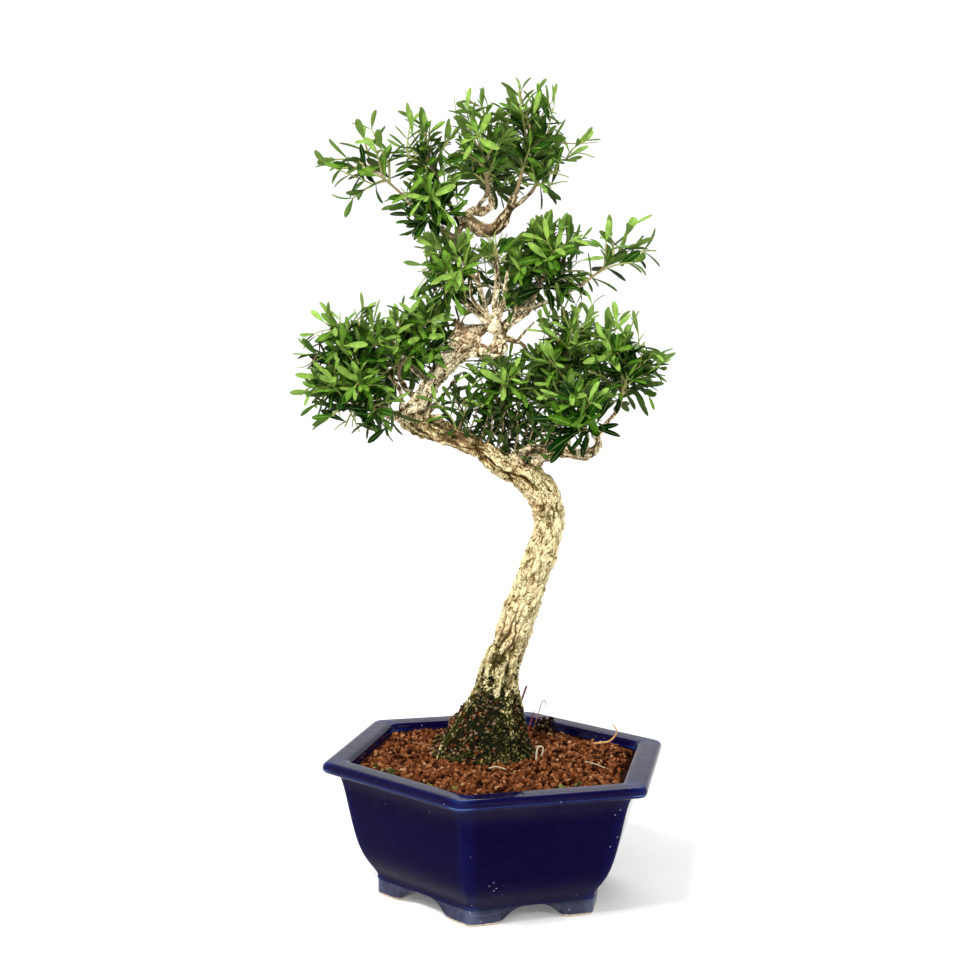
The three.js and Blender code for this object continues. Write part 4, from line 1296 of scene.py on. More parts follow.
LIMBS = (
    Limb("upper_trunk", (
        (-51, 0, 257), (-46, 2, 268), (-40, 4, 279), (-32, 4, 289.5), (-25, 3, 297.5), (-20, 2, 306),
    ), (5.6, 5.2, 4.9, 5.4, 7, 4), 2.2, 0.35),
    Limb("left_bough", (
        (-52, 0, 257.5), (-58, 0, 258.4), (-64, -3, 260), (-70, -6, 262.5), (-75, -8, 265.5),
    ), (3.6, 1.4)),
    Limb("left_top_bough", ((-64, -3, 260.2), (-70, 1, 268), (-75, 3, 276)), (1.9, 1.2)),
    Limb("left_inner_bough", ((-46.5, 2.5, 268), (-54, 6, 272), (-59, 8, 279)), (2.2, 1.3)),
    Limb("left_back_bough", ((-41, 4, 277), (-47, 16, 281), (-54, 27, 286)), (2.2, 1.3)),
    Limb("hook_limb", (
        (-23, 1, 296), (-15, 0, 294.6), (-9.7, 0, 294.2), (-4.4, 0, 295.4), (-3.7, 0, 299.5),
        (-4.4, 0, 304), (-5, 0, 308.6),
    ), (3.3, 2.4), 2.0, 0.5),
    Limb("leader", (
        (-5, 0, 307.5), (-10, 2, 310.5), (-16.8, 4, 316.5), (-23.5, 6, 322.5), (-26.6, 6, 331),
        (-28, 5, 342), (-29, 4, 352), (-28, 2.5, 360), (-24, 1, 366.5),
    ), (2.5, 1.9), 0.6),
    Limb("strand_limb", ((-23, 2, 302), (-19, 2.5, 305.6), (-14, 3, 307.2), (-9, 2, 308.8)), (2.6, 1.9), 0.7),
    Limb("centre_shoot", ((-7, 0.5, 309.5), (-8, -4, 320), (-7.2, -5, 332), (-6.9, -4, 340)), (1.6, 1.1)),
    Limb("brown_shoot", ((-11.5, 2, 311.5), (-12.6, -1, 319), (-15, -3, 326), (-18.6, -5, 334)), (1.3, 1)),
    Limb("right_upper_bough", (
        (-4, 0, 306.6), (-0.5, 0.5, 310.5), (4.5, 2, 316), (11, 4, 322.5),
    ), (2.5, 1.7)),
    Limb("spray_bough", ((6, 2.5, 317.6), (16, 1, 320.5), (28, -1, 325.5), (38, -2, 331.5)), (1.3, 1)),
    Limb("middle_back_bough", ((-17, 4, 316.6), (-15, 13, 319), (-11, 24, 325)), (1.7, 1.2)),
    Limb("apex_left_bough", ((-28.6, 3.5, 355), (-38, 0, 361), (-49, -3, 368), (-58, -5, 377)), (1.6, 1.1)),
    Limb("apex_low_bough", ((-28.8, 4, 350), (-34, 8, 355), (-38, 10, 361)), (1.5, 1.1)),
    Limb("apex_shoulder_bough", ((-26.4, 2, 362.6), (-31, 4, 371), (-37, 6, 380)), (1.7, 1.2)),
    Limb("apex_lower_bough", (
        (-24.6, 1, 365.4), (-19.3, 0, 362), (-13.8, 0, 359.8), (-8.4, 0, 361), (-4.4, 0, 366),
        (-0.6, 0, 372), (2, 0, 379),
    ), (2.7, 1.9), 1, 0.9),
    Limb("apex_upper_bough", (
        (-24, 1, 366), (-21.5, 3, 370.6), (-15.5, 3.5, 371), (-10.5, 3.5, 374), (-12, 3, 380),
    ), (2.1, 1.5), 0.7),
    Limb("apex_right_bough", ((-0.4, 0, 372.4), (5, 4, 376), (10, 6, 381)), (1.6, 1.1)),
    Limb("apex_back_bough", ((-20, 3, 370.8), (-18, 12, 374.5), (-15, 20, 380)), (1.5, 1.1)),
    Limb("right_lower_bough", (
        (14, -1, 231), (20, -3, 238.5), (29.5, -5, 241.5), (36, -8, 241.2), (41.8, -10, 240.5),
        (46.4, -12, 242),
    ), (3.4, 2.3), 0.7),
    Limb("right_tip_bough", (
        (46, -12, 241.6), (49.6, -12, 246), (49, -12, 251), (53, -14, 257), (58, -15, 263),
    ), (2.1, 1)),
    Limb("right_middle_bough", ((33, -6.6, 241.4), (34, -4, 249), (35, -2, 255)), (1.7, 1.2)),
    Limb("right_front_bough", ((40, -9.4, 240.8), (42, -18, 244), (43, -25, 248)), (1.6, 1.2)),
    Limb("right_inner_bough", ((3, 1.5, 232), (1, 5, 243), (-1, 8, 252)), (1.9, 1.3)),
    Limb("right_back_bough", ((14, 2, 226), (19, 14, 236), (26, 25, 247)), (2.2, 1.4)),
)
# Bare twigs and stubs.
SPURS = (
    Limb("left_fan", (
        (-5.6, -1, 306), (-11.2, -3, 314), (-19.5, -4, 322.5), (-20.8, -4, 333),
    ), (1.4, 0.6), 0.9, 0.8),
    Limb("upright_fan", ((-10.2, -1, 311), (-15.8, -3, 329), (-17.8, -4, 345)), (1.2, 0.5), 0.9, 0.8),
    Limb("short_fan", ((-4.5, 0, 305.7), (2.9, -3, 313.3), (3.8, -4, 320.8)), (1.3, 0.6), 0.9, 0.8),
    Limb("right_fan", (
        (-1.3, 0, 308.5), (6.2, -2, 313.4), (11.5, -3, 317.8), (14.5, -4, 325.4),
    ), (1.4, 0.6), 0.9, 0.7),
    Limb("pale_stick", ((-8, 1, 307.5), (-17.7, -3, 315), (-23.2, -4, 320.3)), (1.2, 0.8), 0.6, 0.1),
    Limb("hook_stub", ((-5, 0, 303), (5.4, -1, 300.4), (9.8, -2, 297.3)), (1.7, 0.9), 1, 1),
    Limb("hook_twig", ((4.5, -1, 300.7), (9.6, -2, 307), (13.8, -3, 311.4)), (0.9, 0.45), 0.6, 0.9),
    Limb("burl_stub", ((-22, 0, 298), (-26.3, -3, 307.4), (-29.4, -4, 312)), (2.4, 1.2), 1.2, 0.6),
    Limb("fork_stub", ((-57, 0, 260), (-58.4, 2, 273.1), (-65.2, 2, 281.1)), (1.4, 0.9), 0.9, 1),
    Limb("dark_twig", ((-46, 2, 257), (-33.6, 5, 272.5), (-25.1, 6, 283.5)), (1.4, 0.8), 1, 1.5),
    Limb("crotch", ((4, -2, 233), (11, -4, 241), (21.5, -5, 242)), (4.2, 2.6), 1.4, 0.9),
    Limb("cream_shoot", (
        (-7, -1, 307), (-7.2, -5, 320), (-6.4, -7, 333), (-8, -7, 343),
    ), (2.4, 1.2), 1.5, 0.1),
    Limb("cream_side", ((-6, -3, 312), (-2.8, -6, 324), (-1.4, -7, 338)), (1.6, 0.7), 1.2, 0.3),
    Limb("pink_twig", ((-41, -1, 361), (-39, -5, 352), (-33.9, -4, 344.5)), (0.8, 0.5), 0.5, 0.6),
)
TRUNK = Limb(
    "trunk",
    (
        (-9, 8, 73), (-8, 8, 80), (-6, 8, 92), (-3, 8, 105), (0, 7.5, 120), (8, 6.2, 147),
        (17, 3.7, 173), (24.2, 1.2, 200), (21.6, 0, 216), (13.7, 0, 226), (-3, 0, 235), (-17, 0, 243),
        (-38, 0, 251), (-51.5, 0, 257), (-55, 0, 260),
    ),
    (23.5, 20, 15, 11.8, 10.4, 9.6, 8.9, 8.2, 9.2, 8.8, 6.9, 5.9, 6.6, 6.4, 3.8),
    2.4,
)


@dataclass
class Wood:
    """Trunk, boughs and root ridges with the bark's relief."""

    limbs: tuple = LIMBS
    ground: float = 73.0
    fewest_rings: int = 12
    # Knobs: place, radius and rise of each.
    knobs: tuple = (
        (33, -3, 201, 4.5, 1.8), (30, -2, 181, 5, 1.5), (-48, -5, 247, 5, 2.2), (-38, -6, 245, 4, 1.6),
        (-23, -4, 299.5, 5, 1.6), (14, -8, 222, 6, 1.2), (27, -7, 214, 5, 1.3), (3, -6, 232, 5, 1.2),
        (9, -8, 150, 5, 1.0), (-25, -6, 248, 5, 1.2), (-55, 1, 262, 4, 1.2), (16, -6, 176, 4, 1.0),
        (-41, -1, 281, 4, 1.2), (-34, 0, 287, 3.5, 1.0), (-5, -4, 232, 4, 1.3), (-20, 0, 304, 7, 1.9),
        (-26, -3, 303, 6, 1.8), (-5, -1, 297, 5, 1.2), (-7, -2, 308, 5, 1.3), (-16, -1, 296, 5, 0.9),
        (-9, 0, 360, 5, 1.1), (-4, 0, 366, 5, 1.3), (-18, 0, 362, 5, 1.0), (-16, 3, 371, 4, 0.8),
        (43, -10, 241, 4, 0.9), (-15, 0, 303, 3.5, 1.5), (-7, 0, 299, 3.5, 1.3), (-14, 0, 359, 5, 1.2),
        (-22, 1, 365, 4, 1.2),
    )
    # Routes of the root ridges that run down the mound.
    roots: tuple = (
        (
            (-5, 6, 122), (-10, 4, 111), (-15.5, 1.5, 101), (-20.5, -1.5, 93), (-26, -5, 84),
            (-31, -9, 75), (-33, -11, 70),
        ),
        ((1, 5, 120), (3, 0, 107), (5, -4, 96), (7, -8, 85), (9, -11, 74)),
        ((5, 9, 118), (9, 13, 101), (12, 18, 87), (14, 23, 72)),
        ((-4, 12, 118), (-8, 18, 101), (-11, 24, 86), (-14, 30, 71)),
    )
    root_radii: tuple = (3.6, 3.0, 2.4, 1.9, 1.2)

    @staticmethod
    def relief(
        turn: Array, along: Array, radius: float, limb: Limb, strand: Array, seed: int
    ) -> tuple[Array, Array]:
        """Height of the bark and its tone over a limb's side.

        Cork is two scales of noise folded at zero, so that it swells between sharp cracks, and a
        slower noise leaves some of the cracks out. Strands are noise stretched along the limb,
        with a groove wherever it crosses zero. Scabs are the tops of a coarse noise. All are
        shaken by layered noise.

        Args:
            turn: angle round the limb.
            along: length along it in millimetres.
            radius: radius that the pattern is laid round.
            limb: the limb, for the depth of its grooves.
            strand: how far the bark is drawn out in strands, from 0 to 1.
            seed: number that sets the limb's own pattern.

        Returns:
            Rise in millimetres, and tone from 0 in a crack to 1 on a crest.
        """
        rough = limb.rough * min(1.0, limb.radii[0] / 4)
        place = round_axis(turn, radius, along)
        shake = np.stack([layered(place / 5 + 9, seed + 3 * n, 2) for n in (1, 2, 3)], axis=-1)
        place = place + shake * (1.9, 1.9, 3.2)
        strands = noise(place / (3.1, 3.1, 20), seed + 4)
        groove = bell(strands, 0.17)
        coarse = noise(place / (2.3, 2.3, 5.0), seed + 5)
        small = noise(place / (1.05, 1.05, 2.7), seed + 6)
        fine = layered(place / 0.75, seed + 7, 2)
        broken = eased(-0.2, 0.25, noise(place / 3.4, seed + 8))
        crack = bell(coarse, 0.1) * broken
        pit = bell(small, 0.17) * lerp(0.35, 1, broken)
        scab = np.maximum(noise(place / (4.4, 4.4, 5.5), seed + 9) - 0.3, 0)
        depth = 0.35 + 0.55 * min(rough, 1.5)
        rise = strand * (0.35 + rough) * (0.45 * strands - 0.75 * groove) + 1.8 * depth * scab
        rise = rise + depth * (1.1 * np.abs(coarse) + 0.9 * np.abs(small) - 0.75) + 0.14 * fine
        tone = 0.76 + 0.3 * np.abs(coarse) - strand * (0.6 * groove + 0.04) - 0.42 * crack - 0.45 * pit
        return rise, np.clip(tone + 0.25 * fine, 0, 1)

    def knobbed(self, points: Array, out: Array) -> Array:
        """Points pushed outwards by bell-shaped knobs.

        Args:
            points: places on a limb.
            out: direction away from the limb's middle at each.

        Returns:
            The pushed places.
        """
        for *place, size, rise in self.knobs:
            gap = np.linalg.norm(points - place, axis=-1)
            points = points + out * (rise * bell(gap, size))[..., None]
        return points

    @staticmethod
    def trunk_weather(path: Array, along: Array) -> tuple[Array, Array]:
        """How far the trunk's bark is drawn out in strands, and how brown it is.

        Both are strongest where the trunk lies over, and the strands are strong near the ground.

        Args:
            path: points along the middle of the trunk.
            along: length along it at each of them.

        Returns:
            The share of strands and the share of weathering at each point.
        """
        height = path[:, 2]
        lying = eased(0.55, 0.85, np.abs(np.gradient(path[:, 0], along))) * eased(205, 215, height)
        low = eased(0, 1, (182 - height) / 50)
        strand = np.maximum(np.maximum(1.3 * low, lying), 0.35 + 0.3 * eased(195, 212, height))
        return strand, 0.57 * lying + 0.05 * low + 0.1 * eased(200, 215, height)

    @staticmethod
    def moss(points: Array) -> Array:
        """How green the bark is: fading upwards, patchy, and full under a ragged line above the mound.

        Args:
            points: places on the bark.

        Returns:
            One value for each place.
        """
        height = points[..., 2]
        low = eased(0, 1, (150 - height) / 40)
        patches = 0.25 * eased(0.1, 0.5, noise(points / 9, 42))
        mossy = 0.6 * low * (0.6 + 0.6 * noise(points / 4, 41)) + patches
        return mossy + 1.1 * eased(0, 1, (108 + 5 * noise(points / 5, 44) - height) / 5)

    def add_limb(self, piece: Piece, limb: Limb, around: int, step: float, seed: int) -> None:
        """Adds a limb: circles along its route, flared where it starts, with the bark's relief.

        Args:
            piece: piece that takes the limb.
            limb: the limb.
            around: points round the limb.
            step: length between its rings in millimetres.
            seed: number that sets its bark.
        """
        length = arc_lengths(limb.places(np.linspace(0, 1, 200)))[-1]
        shares = np.linspace(0, 1, max(int(length / step), self.fewest_rings))
        path = limb.places(shares)
        along = arc_lengths(path)
        radius = limb.radius(shares)
        if limb is TRUNK:
            strand, weather = self.trunk_weather(path, along)
        else:
            radius = radius * (1 + 0.45 * np.exp(-along / (1.6 * radius[0])))
            strand, weather = np.full(len(path), 0.7), np.full(len(path), limb.weather)
        turn = full_turn(around)
        out = outward(path, turn)
        turns, lengths = np.meshgrid(turn, along)
        rise, tone = self.relief(turns, lengths, float(np.median(radius)), limb, strand[:, None], seed)
        if limb is TRUNK:
            root = 0.13 * np.exp(-(path[:, 2] - self.ground) / 16)[:, None] * np.cos(5 * turns)
            rise = rise + radius[:, None] * root - 0.3
        bulk = round_axis(turns, 1.4, lengths / (2.2 * np.median(radius)))
        lumps = 0.08 * radius[:, None] * noise(bulk, seed + 11)
        points = path[:, None] + out * (radius[:, None] + rise + lumps)[..., None]
        points = self.knobbed(points, out)
        weather = np.clip(weather[:, None] + 0.3 * noise(points / 6, 43), 0, 1.2)
        faces = closed_faces(len(path), around)
        piece.add(points, faces, relief=tone, mossy=self.moss(points), weather=weather)

    def dress(self) -> None:
        """Builds the trunk with its root ridges, and the boughs."""
        bark = Bark()
        trunk = Piece("ridged_trunk")
        self.add_limb(trunk, TRUNK, 132, 0.62, 3)
        for n, route in enumerate(self.roots):
            self.add_limb(trunk, Limb(f"root_{n}", route, self.root_radii, 1.2), 36, 0.7, 60 + n)
        trunk.build([bark.material("trunk bark")], ["trunk"], "bark")
        boughs = Piece("corky_boughs")
        for n, limb in enumerate((*self.limbs, *SPURS)):
            size = max(limb.radii)
            around = int(np.clip(size * 13, 20, 80))
            self.add_limb(boughs, limb, around, max(0.42, size * 0.11), 100 + 7 * n)
        pale = Bark(
            crack=(0.04, 0.026, 0.009), groove=(0.24, 0.165, 0.075), plate=(0.63, 0.51, 0.3),
            crest=(0.96, 0.85, 0.58), peach=(0.78, 0.5, 0.31), stops=(0.1, 0.34, 0.56, 0.82),
        )
        boughs.build([pale.material("bough bark")], [limb.name for limb in self.limbs], "bark")


# Foliage


@dataclass
class Mass:
    """Space of one mass of foliage, with its numbers of twigs, of their side twigs and of leaf pairs."""

    name: str
    bough: str
    centre: tuple
    reach: tuple
    twigs: int
    seed: int
    tilt: float = 0.0
    finer: int = 4
    gap: float = 4.6
    pairs: int = 12
    # painted shade: shift of its leaves' brightness, below 0 for masses that lie in shade
    light: float = 0.0

    def distance(self, points: Array) -> Array:
        """Distance of points from the middle of the space, where 1 is its surface.

        Args:
            points: places, with the three coordinates last.

        Returns:
            One value for each place.
        """
        angle = np.radians(self.tilt)
        dx, dy, dz = np.moveaxis(points - np.array(self.centre, float), -1, 0)
        across = dx * np.cos(angle) + dz * np.sin(angle)
        rise = dz * np.cos(angle) - dx * np.sin(angle)
        wide, deep, high = self.reach
        return np.sqrt((across / wide) ** 2 + (dy / deep) ** 2 + (rise / high) ** 2)

    def point(self, direction: Array, room: float) -> Array:
        """Point of the space a little inside its surface in a unit direction.

        Args:
            direction: unit direction from the middle.
            room: distance kept from the surface.

        Returns:
            The place.
        """
        radius = 1 / np.linalg.norm(direction / self.reach)
        x, y, z = direction * max(radius - room, 0)
        angle = np.radians(self.tilt)
        turned = (x * np.cos(angle) - z * np.sin(angle), y, x * np.sin(angle) + z * np.cos(angle))
        return np.array(self.centre, float) + turned


MASSES = (
    Mass("apex_crown", "apex_lower_bough", (9, -3, 416), (26, 27, 30), 8, 70, finer=2),
    Mass("apex_right", "apex_right_bough", (16, 8, 394), (24, 24, 23), 7, 841, finer=3),
    Mass("apex_middle", "apex_upper_bough", (-17, -8, 406), (22, 24, 29), 7, 1401, finer=2),
    Mass("apex_shoulder", "apex_shoulder_bough", (-47, 6, 403), (24, 25, 26), 7, 143, finer=2),
    Mass("apex_low", "apex_low_bough", (-44, -2, 373), (28, 27, 22), 7, 165, finer=3, light=-0.3),
    Mass("apex_spray", "apex_left_bough", (-79, -6, 393), (28, 24, 30), 8, 1033, 0, 0, 7.0, 3),
    Mass("apex_back", "apex_back_bough", (-13, 38, 403), (30, 25, 29), 7, 1223),
    Mass("middle_left", "brown_shoot", (-35, 0, 338), (26, 27, 30), 8, 70),
    Mass("middle_right", "right_upper_bough", (21, 2, 344), (31, 30, 29), 9, 1379),
    Mass("middle_centre", "centre_shoot", (-7, -8, 349), (18, 20, 20), 5, 1275),
    Mass("middle_spray", "spray_bough", (60, -1, 350), (33, 24, 23), 7, 1115, 30, 0, 7.5, 3),
    Mass("middle_back", "middle_back_bough", (-3, 42, 340), (30, 25, 28), 7, 172),
    Mass("left_top", "left_top_bough", (-85, -4, 297), (30, 29, 29), 8, 1208),
    Mass("left_low", "left_bough", (-83, -12, 268), (34, 30, 27), 8, 1118, light=-0.25),
    Mass("left_inner", "left_inner_bough", (-48, 8, 302), (27, 28, 29), 8, 1189),
    Mass("left_back", "left_back_bough", (-70, 42, 288), (31, 25, 29), 7, 71),
    Mass("right_outer", "right_tip_bough", (61, -10, 288), (29, 31, 36), 9, 1408),
    Mass("right_middle", "right_middle_bough", (31, 4, 292), (26, 30, 34), 8, 1164),
    Mass("right_inner", "right_inner_bough", (-2, 10, 274), (31, 30, 30), 7, 1214),
    Mass("right_back", "right_back_bough", (30, 44, 281), (35, 25, 31), 7, 264),
    Mass("right_front", "right_front_bough", (37, -38, 262), (26, 23, 22), 6, 27, light=-0.4),
)


@dataclass
class Shoot:
    """A stem, twig or side twig: its bowed curve, its radii and how young it is."""

    curve: Array
    thick: float
    thin: float
    young: float
    mass: Mass
    turn: float = 0.0
    # how pale its leaves are: young growth, and painted light and shade by where the shoot points and lies
    vigour_and_light: float = 0.0
    leaf: float = 1.0

    def at(self, share: float) -> tuple[Array, Array]:
        """Place and unit direction at a share of the way along."""
        return bowed(self.curve, share)[0], bow_heading(self.curve, share)[0]


@dataclass
class Leaf:
    """One leaf: its foot, its direction, the side that faces up, its sizes and its tone."""

    foot: Array
    ahead: Array
    facing: Array
    length: float
    width: float
    bend: float
    cup: float
    tone: Tone


@dataclass
class Foliage:
    """Stems, twigs and leaves, grown by the rule that the solids are grown by and carried finer."""

    masses: tuple = MASSES
    limbs: tuple = LIMBS
    # Radii at foot and tip of stems, twigs, side twigs, and of leafy and bare shoots that stand out.
    stem_radii: tuple = (1.15, 0.7)
    twig_radii: tuple = (0.72, 0.42)
    side_radii: tuple = (0.42, 0.28)
    leafy_radii: tuple = (0.6, 0.35)
    bare_radii: tuple = (0.45, 0.2)
    stem_bend: float = 0.3
    first_twig: float = 0.35
    lowest_twig: float = -0.85
    lift: float = 0.15
    tip_room: float = 11.0
    seed_step: int = 7919
    side_opening: tuple = (66.0, 40.0)  # degrees from the twig, at its foot and its tip
    side_length: tuple = (19.0, 9.0)
    side_room: float = 8.0
    first_pair: float = 4.0
    limit: float = 1.02
    overlap: float = 0.6
    leaf_length: tuple = (12.5, 18.0)
    leaf_opening: tuple = (30.0, 60.0)  # degrees from the shoot, at its tip and lower down
    tip_leaf: float = 0.74  # length of the leaves at a tip as a share of the others
    full_leaf: float = 0.8  # size of a shoot's leaves under which they count as small
    slender: tuple = (0.21, 0.275)  # width as a share of the length
    slimness: tuple = (1.45, 1.25, 1)  # factor on it for small leaves, open sprays and the others
    tone_steps: tuple = (-0.7, -0.3, 0.12, 0.6)  # brightness at which one tone gives way to the next
    # height above which leaves are painted lighter, and below which darker, as if by the light from above
    tree_middle: float = 325.0
    tiers: tuple = (368.0, 322.0, -25.0)  # heights over which a leaf is apex or middle, and where left ends
    stations: tuple = (0, 0.12, 0.34, 0.56, 0.77, 0.93, 1)
    widths: tuple = (0.14, 0.3, 0.72, 0.98, 0.94, 0.57, 0.1)
    thickness: float = 0.32
    # Left, front and top of the hollow whose shoots grow from the trunk.
    hollow: tuple = (-30.0, -12.0, 258.0)
    # Middle and radius, across and up, of the gaps where the front shows sky.
    gaps: tuple = (
        (3, 439, 6), (25, 427, 7), (34, 406, 6), (32, 388, 9), (0, 365, 7), (-57, 410, 7), (-42, 422, 5),
        (-53, 333, 7), (-54, 347, 5), (-89, 319, 8), (-105, 307, 6), (75, 310, 7), (84, 303, 5),
        (-91, 250, 9), (-78, 248, 6), (56, 261, 4), (39, 344, 6), (-17, 411, 4), (-15, 342, 3.5),
        (66, 342, 4), (84, 353, 4), (-19, 379, 5), (-5, 346, 3.5), (-70, 352, 6), (-12, 362, 7.5),
        (-6, 325, 4), (-8, 334, 3), (12, 306, 5), (-33, 404, 4), (-67, 384, 4),
    )
    # Shoots that stand out: foot, tip, size of the leaves and vigour, whose low values also paint the shade
    # inside and under the crown.
    sprays: tuple = (
        ((-73.1, -6, 382.2), (-98, -6, 392), 0.95, 0.75),
        ((-64.1, -6, 390.3), (-75.1, -8, 411), 1.0, 0.7), ((-58, -5, 398), (-55, -4, 414), 1.0, 0.5),
        ((3.8, -2, 413.4), (13, -2, 434), 0.85, 0.75), ((2, -2, 415), (4, -3, 434), 0.8, 0.7),
        ((40.8, -2, 331.8), (60, -2, 350.5), 1.05, 0.55), ((55, -2, 344.4), (66, -2, 352), 1.15, 0.8),
        ((36, -42, 253), (36.6, -57, 258), 1.6, -0.5), ((-66, -12, 265), (-73, -15, 256), 1.0, -0.9),
        ((-60, -10, 264), (-64, -15, 253), 1.0, -0.9), ((-93, -10, 272), (-103, -12, 274), 1.05, 0.5),
        ((-95, -6, 288), (-104, -7, 291), 1.0, 0.55), ((68, -10, 286), (79, -10, 290), 1.0, 0.5),
        ((34, -26, 247), (29, -38, 247), 1.0, -0.8), ((30, 4, 404), (38, 1, 409), 0.9, 0.3),
        ((-79, -10, 280), (-84, -18, 290), 1.1, 0.6), ((-10, -2, 255), (-9, -3, 268), 0.62, -0.3),
        ((-3.5, -2, 254), (0.8, -3, 266), 0.62, -0.2), ((3, -2, 251), (6.3, -3, 262.6), 0.6, -0.5),
        ((1, -3, 252), (-3.5, -4, 263.4), 0.65, -0.3), ((12, -2, 249), (12.9, -3, 259.5), 0.6, -0.6),
        ((16, -4, 247), (21, -6, 256), 0.7, -0.4), ((-17, -2, 257), (-15.6, -3, 266.4), 0.6, -0.3),
        ((-24.6, -4, 256.5), (-37.9, -5, 267), 0.95, -0.5), ((6, 4, 252), (9, 6, 264), 0.6, -0.7),
        ((18, 2, 250), (14, 3, 262), 0.6, -0.6), ((-8, 6, 256), (-5, 8, 268), 0.65, -0.6),
        ((24, -6, 249), (27, -8, 258), 0.7, -0.5), ((0, -3, 250), (-2, -5, 261), 0.6, -0.5),
        ((8, -4, 247), (6, -6, 258), 0.6, -0.3), ((14, -4, 247), (15, -6, 257), 0.65, -0.6),
        ((20, -6, 248), (24, -8, 258), 0.7, -0.2), ((5, 8, 247), (3, 10, 259), 0.6, -0.8),
        ((-6, -4, 252), (-8, -6, 262), 0.6, -0.4), ((11, 6, 247), (12, 8, 260), 0.6, -0.7),
        ((-17, 1, 256), (-30, 0, 267), 0.95, -0.7), ((-24, -3, 257), (-20, -4, 270), 0.8, -0.6),
        ((-30, 4, 262), (-28, 5, 277), 0.75, -0.9), ((41.5, -4, 306), (44.8, -4, 321), 0.95, 0.4),
        ((38, -6, 308), (36, -6, 321), 0.85, 0.2), ((31, -4, 312), (27.5, -4, 324), 0.8, 0.3),
        ((-4, -4, 312), (-2, -6, 322), 0.6, -0.2), ((-26, 1, 308), (-22, 0, 318), 0.7, -0.5),
        ((22, -6, 300), (18, -8, 311), 0.8, 0.2), ((-31, -5, 415), (-31.5, -5, 430), 0, 0),
        ((-22, -6, 424), (-26, -6, 433), 0, 0), ((34, 2, 407), (46, 1, 408.5), 0, 0),
        ((-108, -6, 283), (-114, -6, 284), 0, 0),
    )

    def stem(self, mass: Mass) -> Shoot:
        """Stem that goes on from the bough's tip to the middle of the mass.

        Args:
            mass: mass that the stem fills.

        Returns:
            The stem.
        """
        tip, ahead = next(limb for limb in self.limbs if limb.name == mass.bough).tip
        end = np.array(mass.centre, float)
        curve = np.array([tip, tip + ahead * np.linalg.norm(end - tip) * self.stem_bend, end])
        slim = 0.65 if mass.pairs < 12 else 1.0
        thick, thin = self.stem_radii
        return Shoot(curve, thick * slim, thin * slim, 0.12, mass)

    def bow(self, foot: Array, tip: Array) -> Array:
        """A shoot's curve from foot to tip, lifted in the middle."""
        control = (foot + tip) / 2 + UP * self.lift * np.linalg.norm(tip - foot)
        return np.array([foot, control, tip])

    def twigs(self, mass: Mass, stem: Shoot) -> list[Shoot]:
        """Twigs of a mass, one above another on its stem.

        Each heads for a point of the space, and the points are spread by the golden angle from
        the lowest to the top about the direction that the stem ends in.

        Args:
            mass: mass that the twigs fill.
            stem: stem that carries them.

        Returns:
            The twigs, from the lowest to the top.
        """
        spin = 2 * np.pi * next(seeded_random(mass.seed))
        upright = turned_to(bow_heading(stem.curve, 1)[0])
        shoots = []
        for i in range(mass.twigs):
            rank = (i + 0.5) / mass.twigs
            height = lerp(self.lowest_twig, 1, rank)
            around = spin + i * GOLDEN_ANGLE
            flat = np.sqrt(1 - height * height)
            direction = upright @ (flat * np.cos(around), flat * np.sin(around), height)
            foot = bowed(stem.curve, lerp(self.first_twig, 1, rank))[0]
            random = seeded_random(mass.seed + self.seed_step * (i + 1))
            turn = 2 * np.pi * next(random)
            curve = self.bow(foot, mass.point(direction, self.tip_room))
            # Painted light: twigs heading up and to the front get paler tones, besides their random vigour.
            vigour_and_light = 0.55 * direction[2] - 0.2 * direction[1] + lerp(-0.45, 0.45, next(random))
            shoots.append(Shoot(curve, *self.twig_radii, 0.45, mass, turn, vigour_and_light))
        return shoots

    def side_shoots(self, twig: Shoot, random: Random) -> list[Shoot]:
        """Side twigs of a twig, turned round it by the golden angle and opening less towards its tip.

        Args:
            twig: twig that carries them.
            random: source of their small differences.

        Returns:
            The side twigs that fit.
        """
        shoots = []
        for n in range(twig.mass.finer):
            share = lerp(0.12, 0.9, (n + random.uniform(0.2, 0.8)) / twig.mass.finer)
            foot, ahead = twig.at(share)
            side = across_heading(ahead, twig.turn + n * GOLDEN_ANGLE)
            opening = np.radians(lerp(*self.side_opening, share)) * random.uniform(0.85, 1.15)
            out = unit(ahead * np.cos(opening) + side * np.sin(opening) + 0.12 * UP)
            length = lerp(*self.side_length, share) * random.uniform(0.8, 1.25)
            tries = foot + out * np.outer(length * np.array([1, 0.85, 0.7, 0.55, 0.4]), np.ones(3))
            room = twig.mass.distance(tries + out * self.side_room)
            fitting = np.flatnonzero(room <= 1)
            if not len(fitting):
                continue
            curve = self.bow(foot, tries[fitting[0]])
            vigour_and_light = twig.vigour_and_light + random.uniform(-0.3, 0.3)
            turn = random.uniform(0, np.pi)
            shoots.append(Shoot(curve, *self.side_radii, 0.7, twig.mass, turn, vigour_and_light))
        return shoots

    def stand_outs(self, carriers: list[Shoot]) -> list[Shoot]:
        """Shoots that stand out or fill a hollow, each grown from the nearest twig, stem or trunk.

        Args:
            carriers: stems and twigs that they may grow from.

        Returns:
            The shoots.
        """
        shares = np.linspace(0, 1, 9)
        samples = np.concatenate([bowed(shoot.curve, shares) for shoot in carriers])
        trunk = TRUNK.places(np.linspace(0.5, 1, 60))
        shoots = []
        for n, (foot, tip, size, vigour_and_light) in enumerate(self.sprays):
            nearest = np.argmin(np.linalg.norm(samples - foot, axis=1))
            mass = carriers[nearest // len(shares)].mass
            below = np.argmin(np.linalg.norm(trunk - foot, axis=1))
            left, front, top = self.hollow
            low = foot[0] > left and foot[1] > front and foot[2] < top
            curve = np.array([trunk[below] if low else samples[nearest], foot, tip], float)
            radii = self.leafy_radii if size else self.bare_radii
            young = 0.6 if size > self.full_leaf else 0.05
            shoots.append(Shoot(curve, *radii, young, mass, 0.4 + n, vigour_and_light, size))
        return shoots

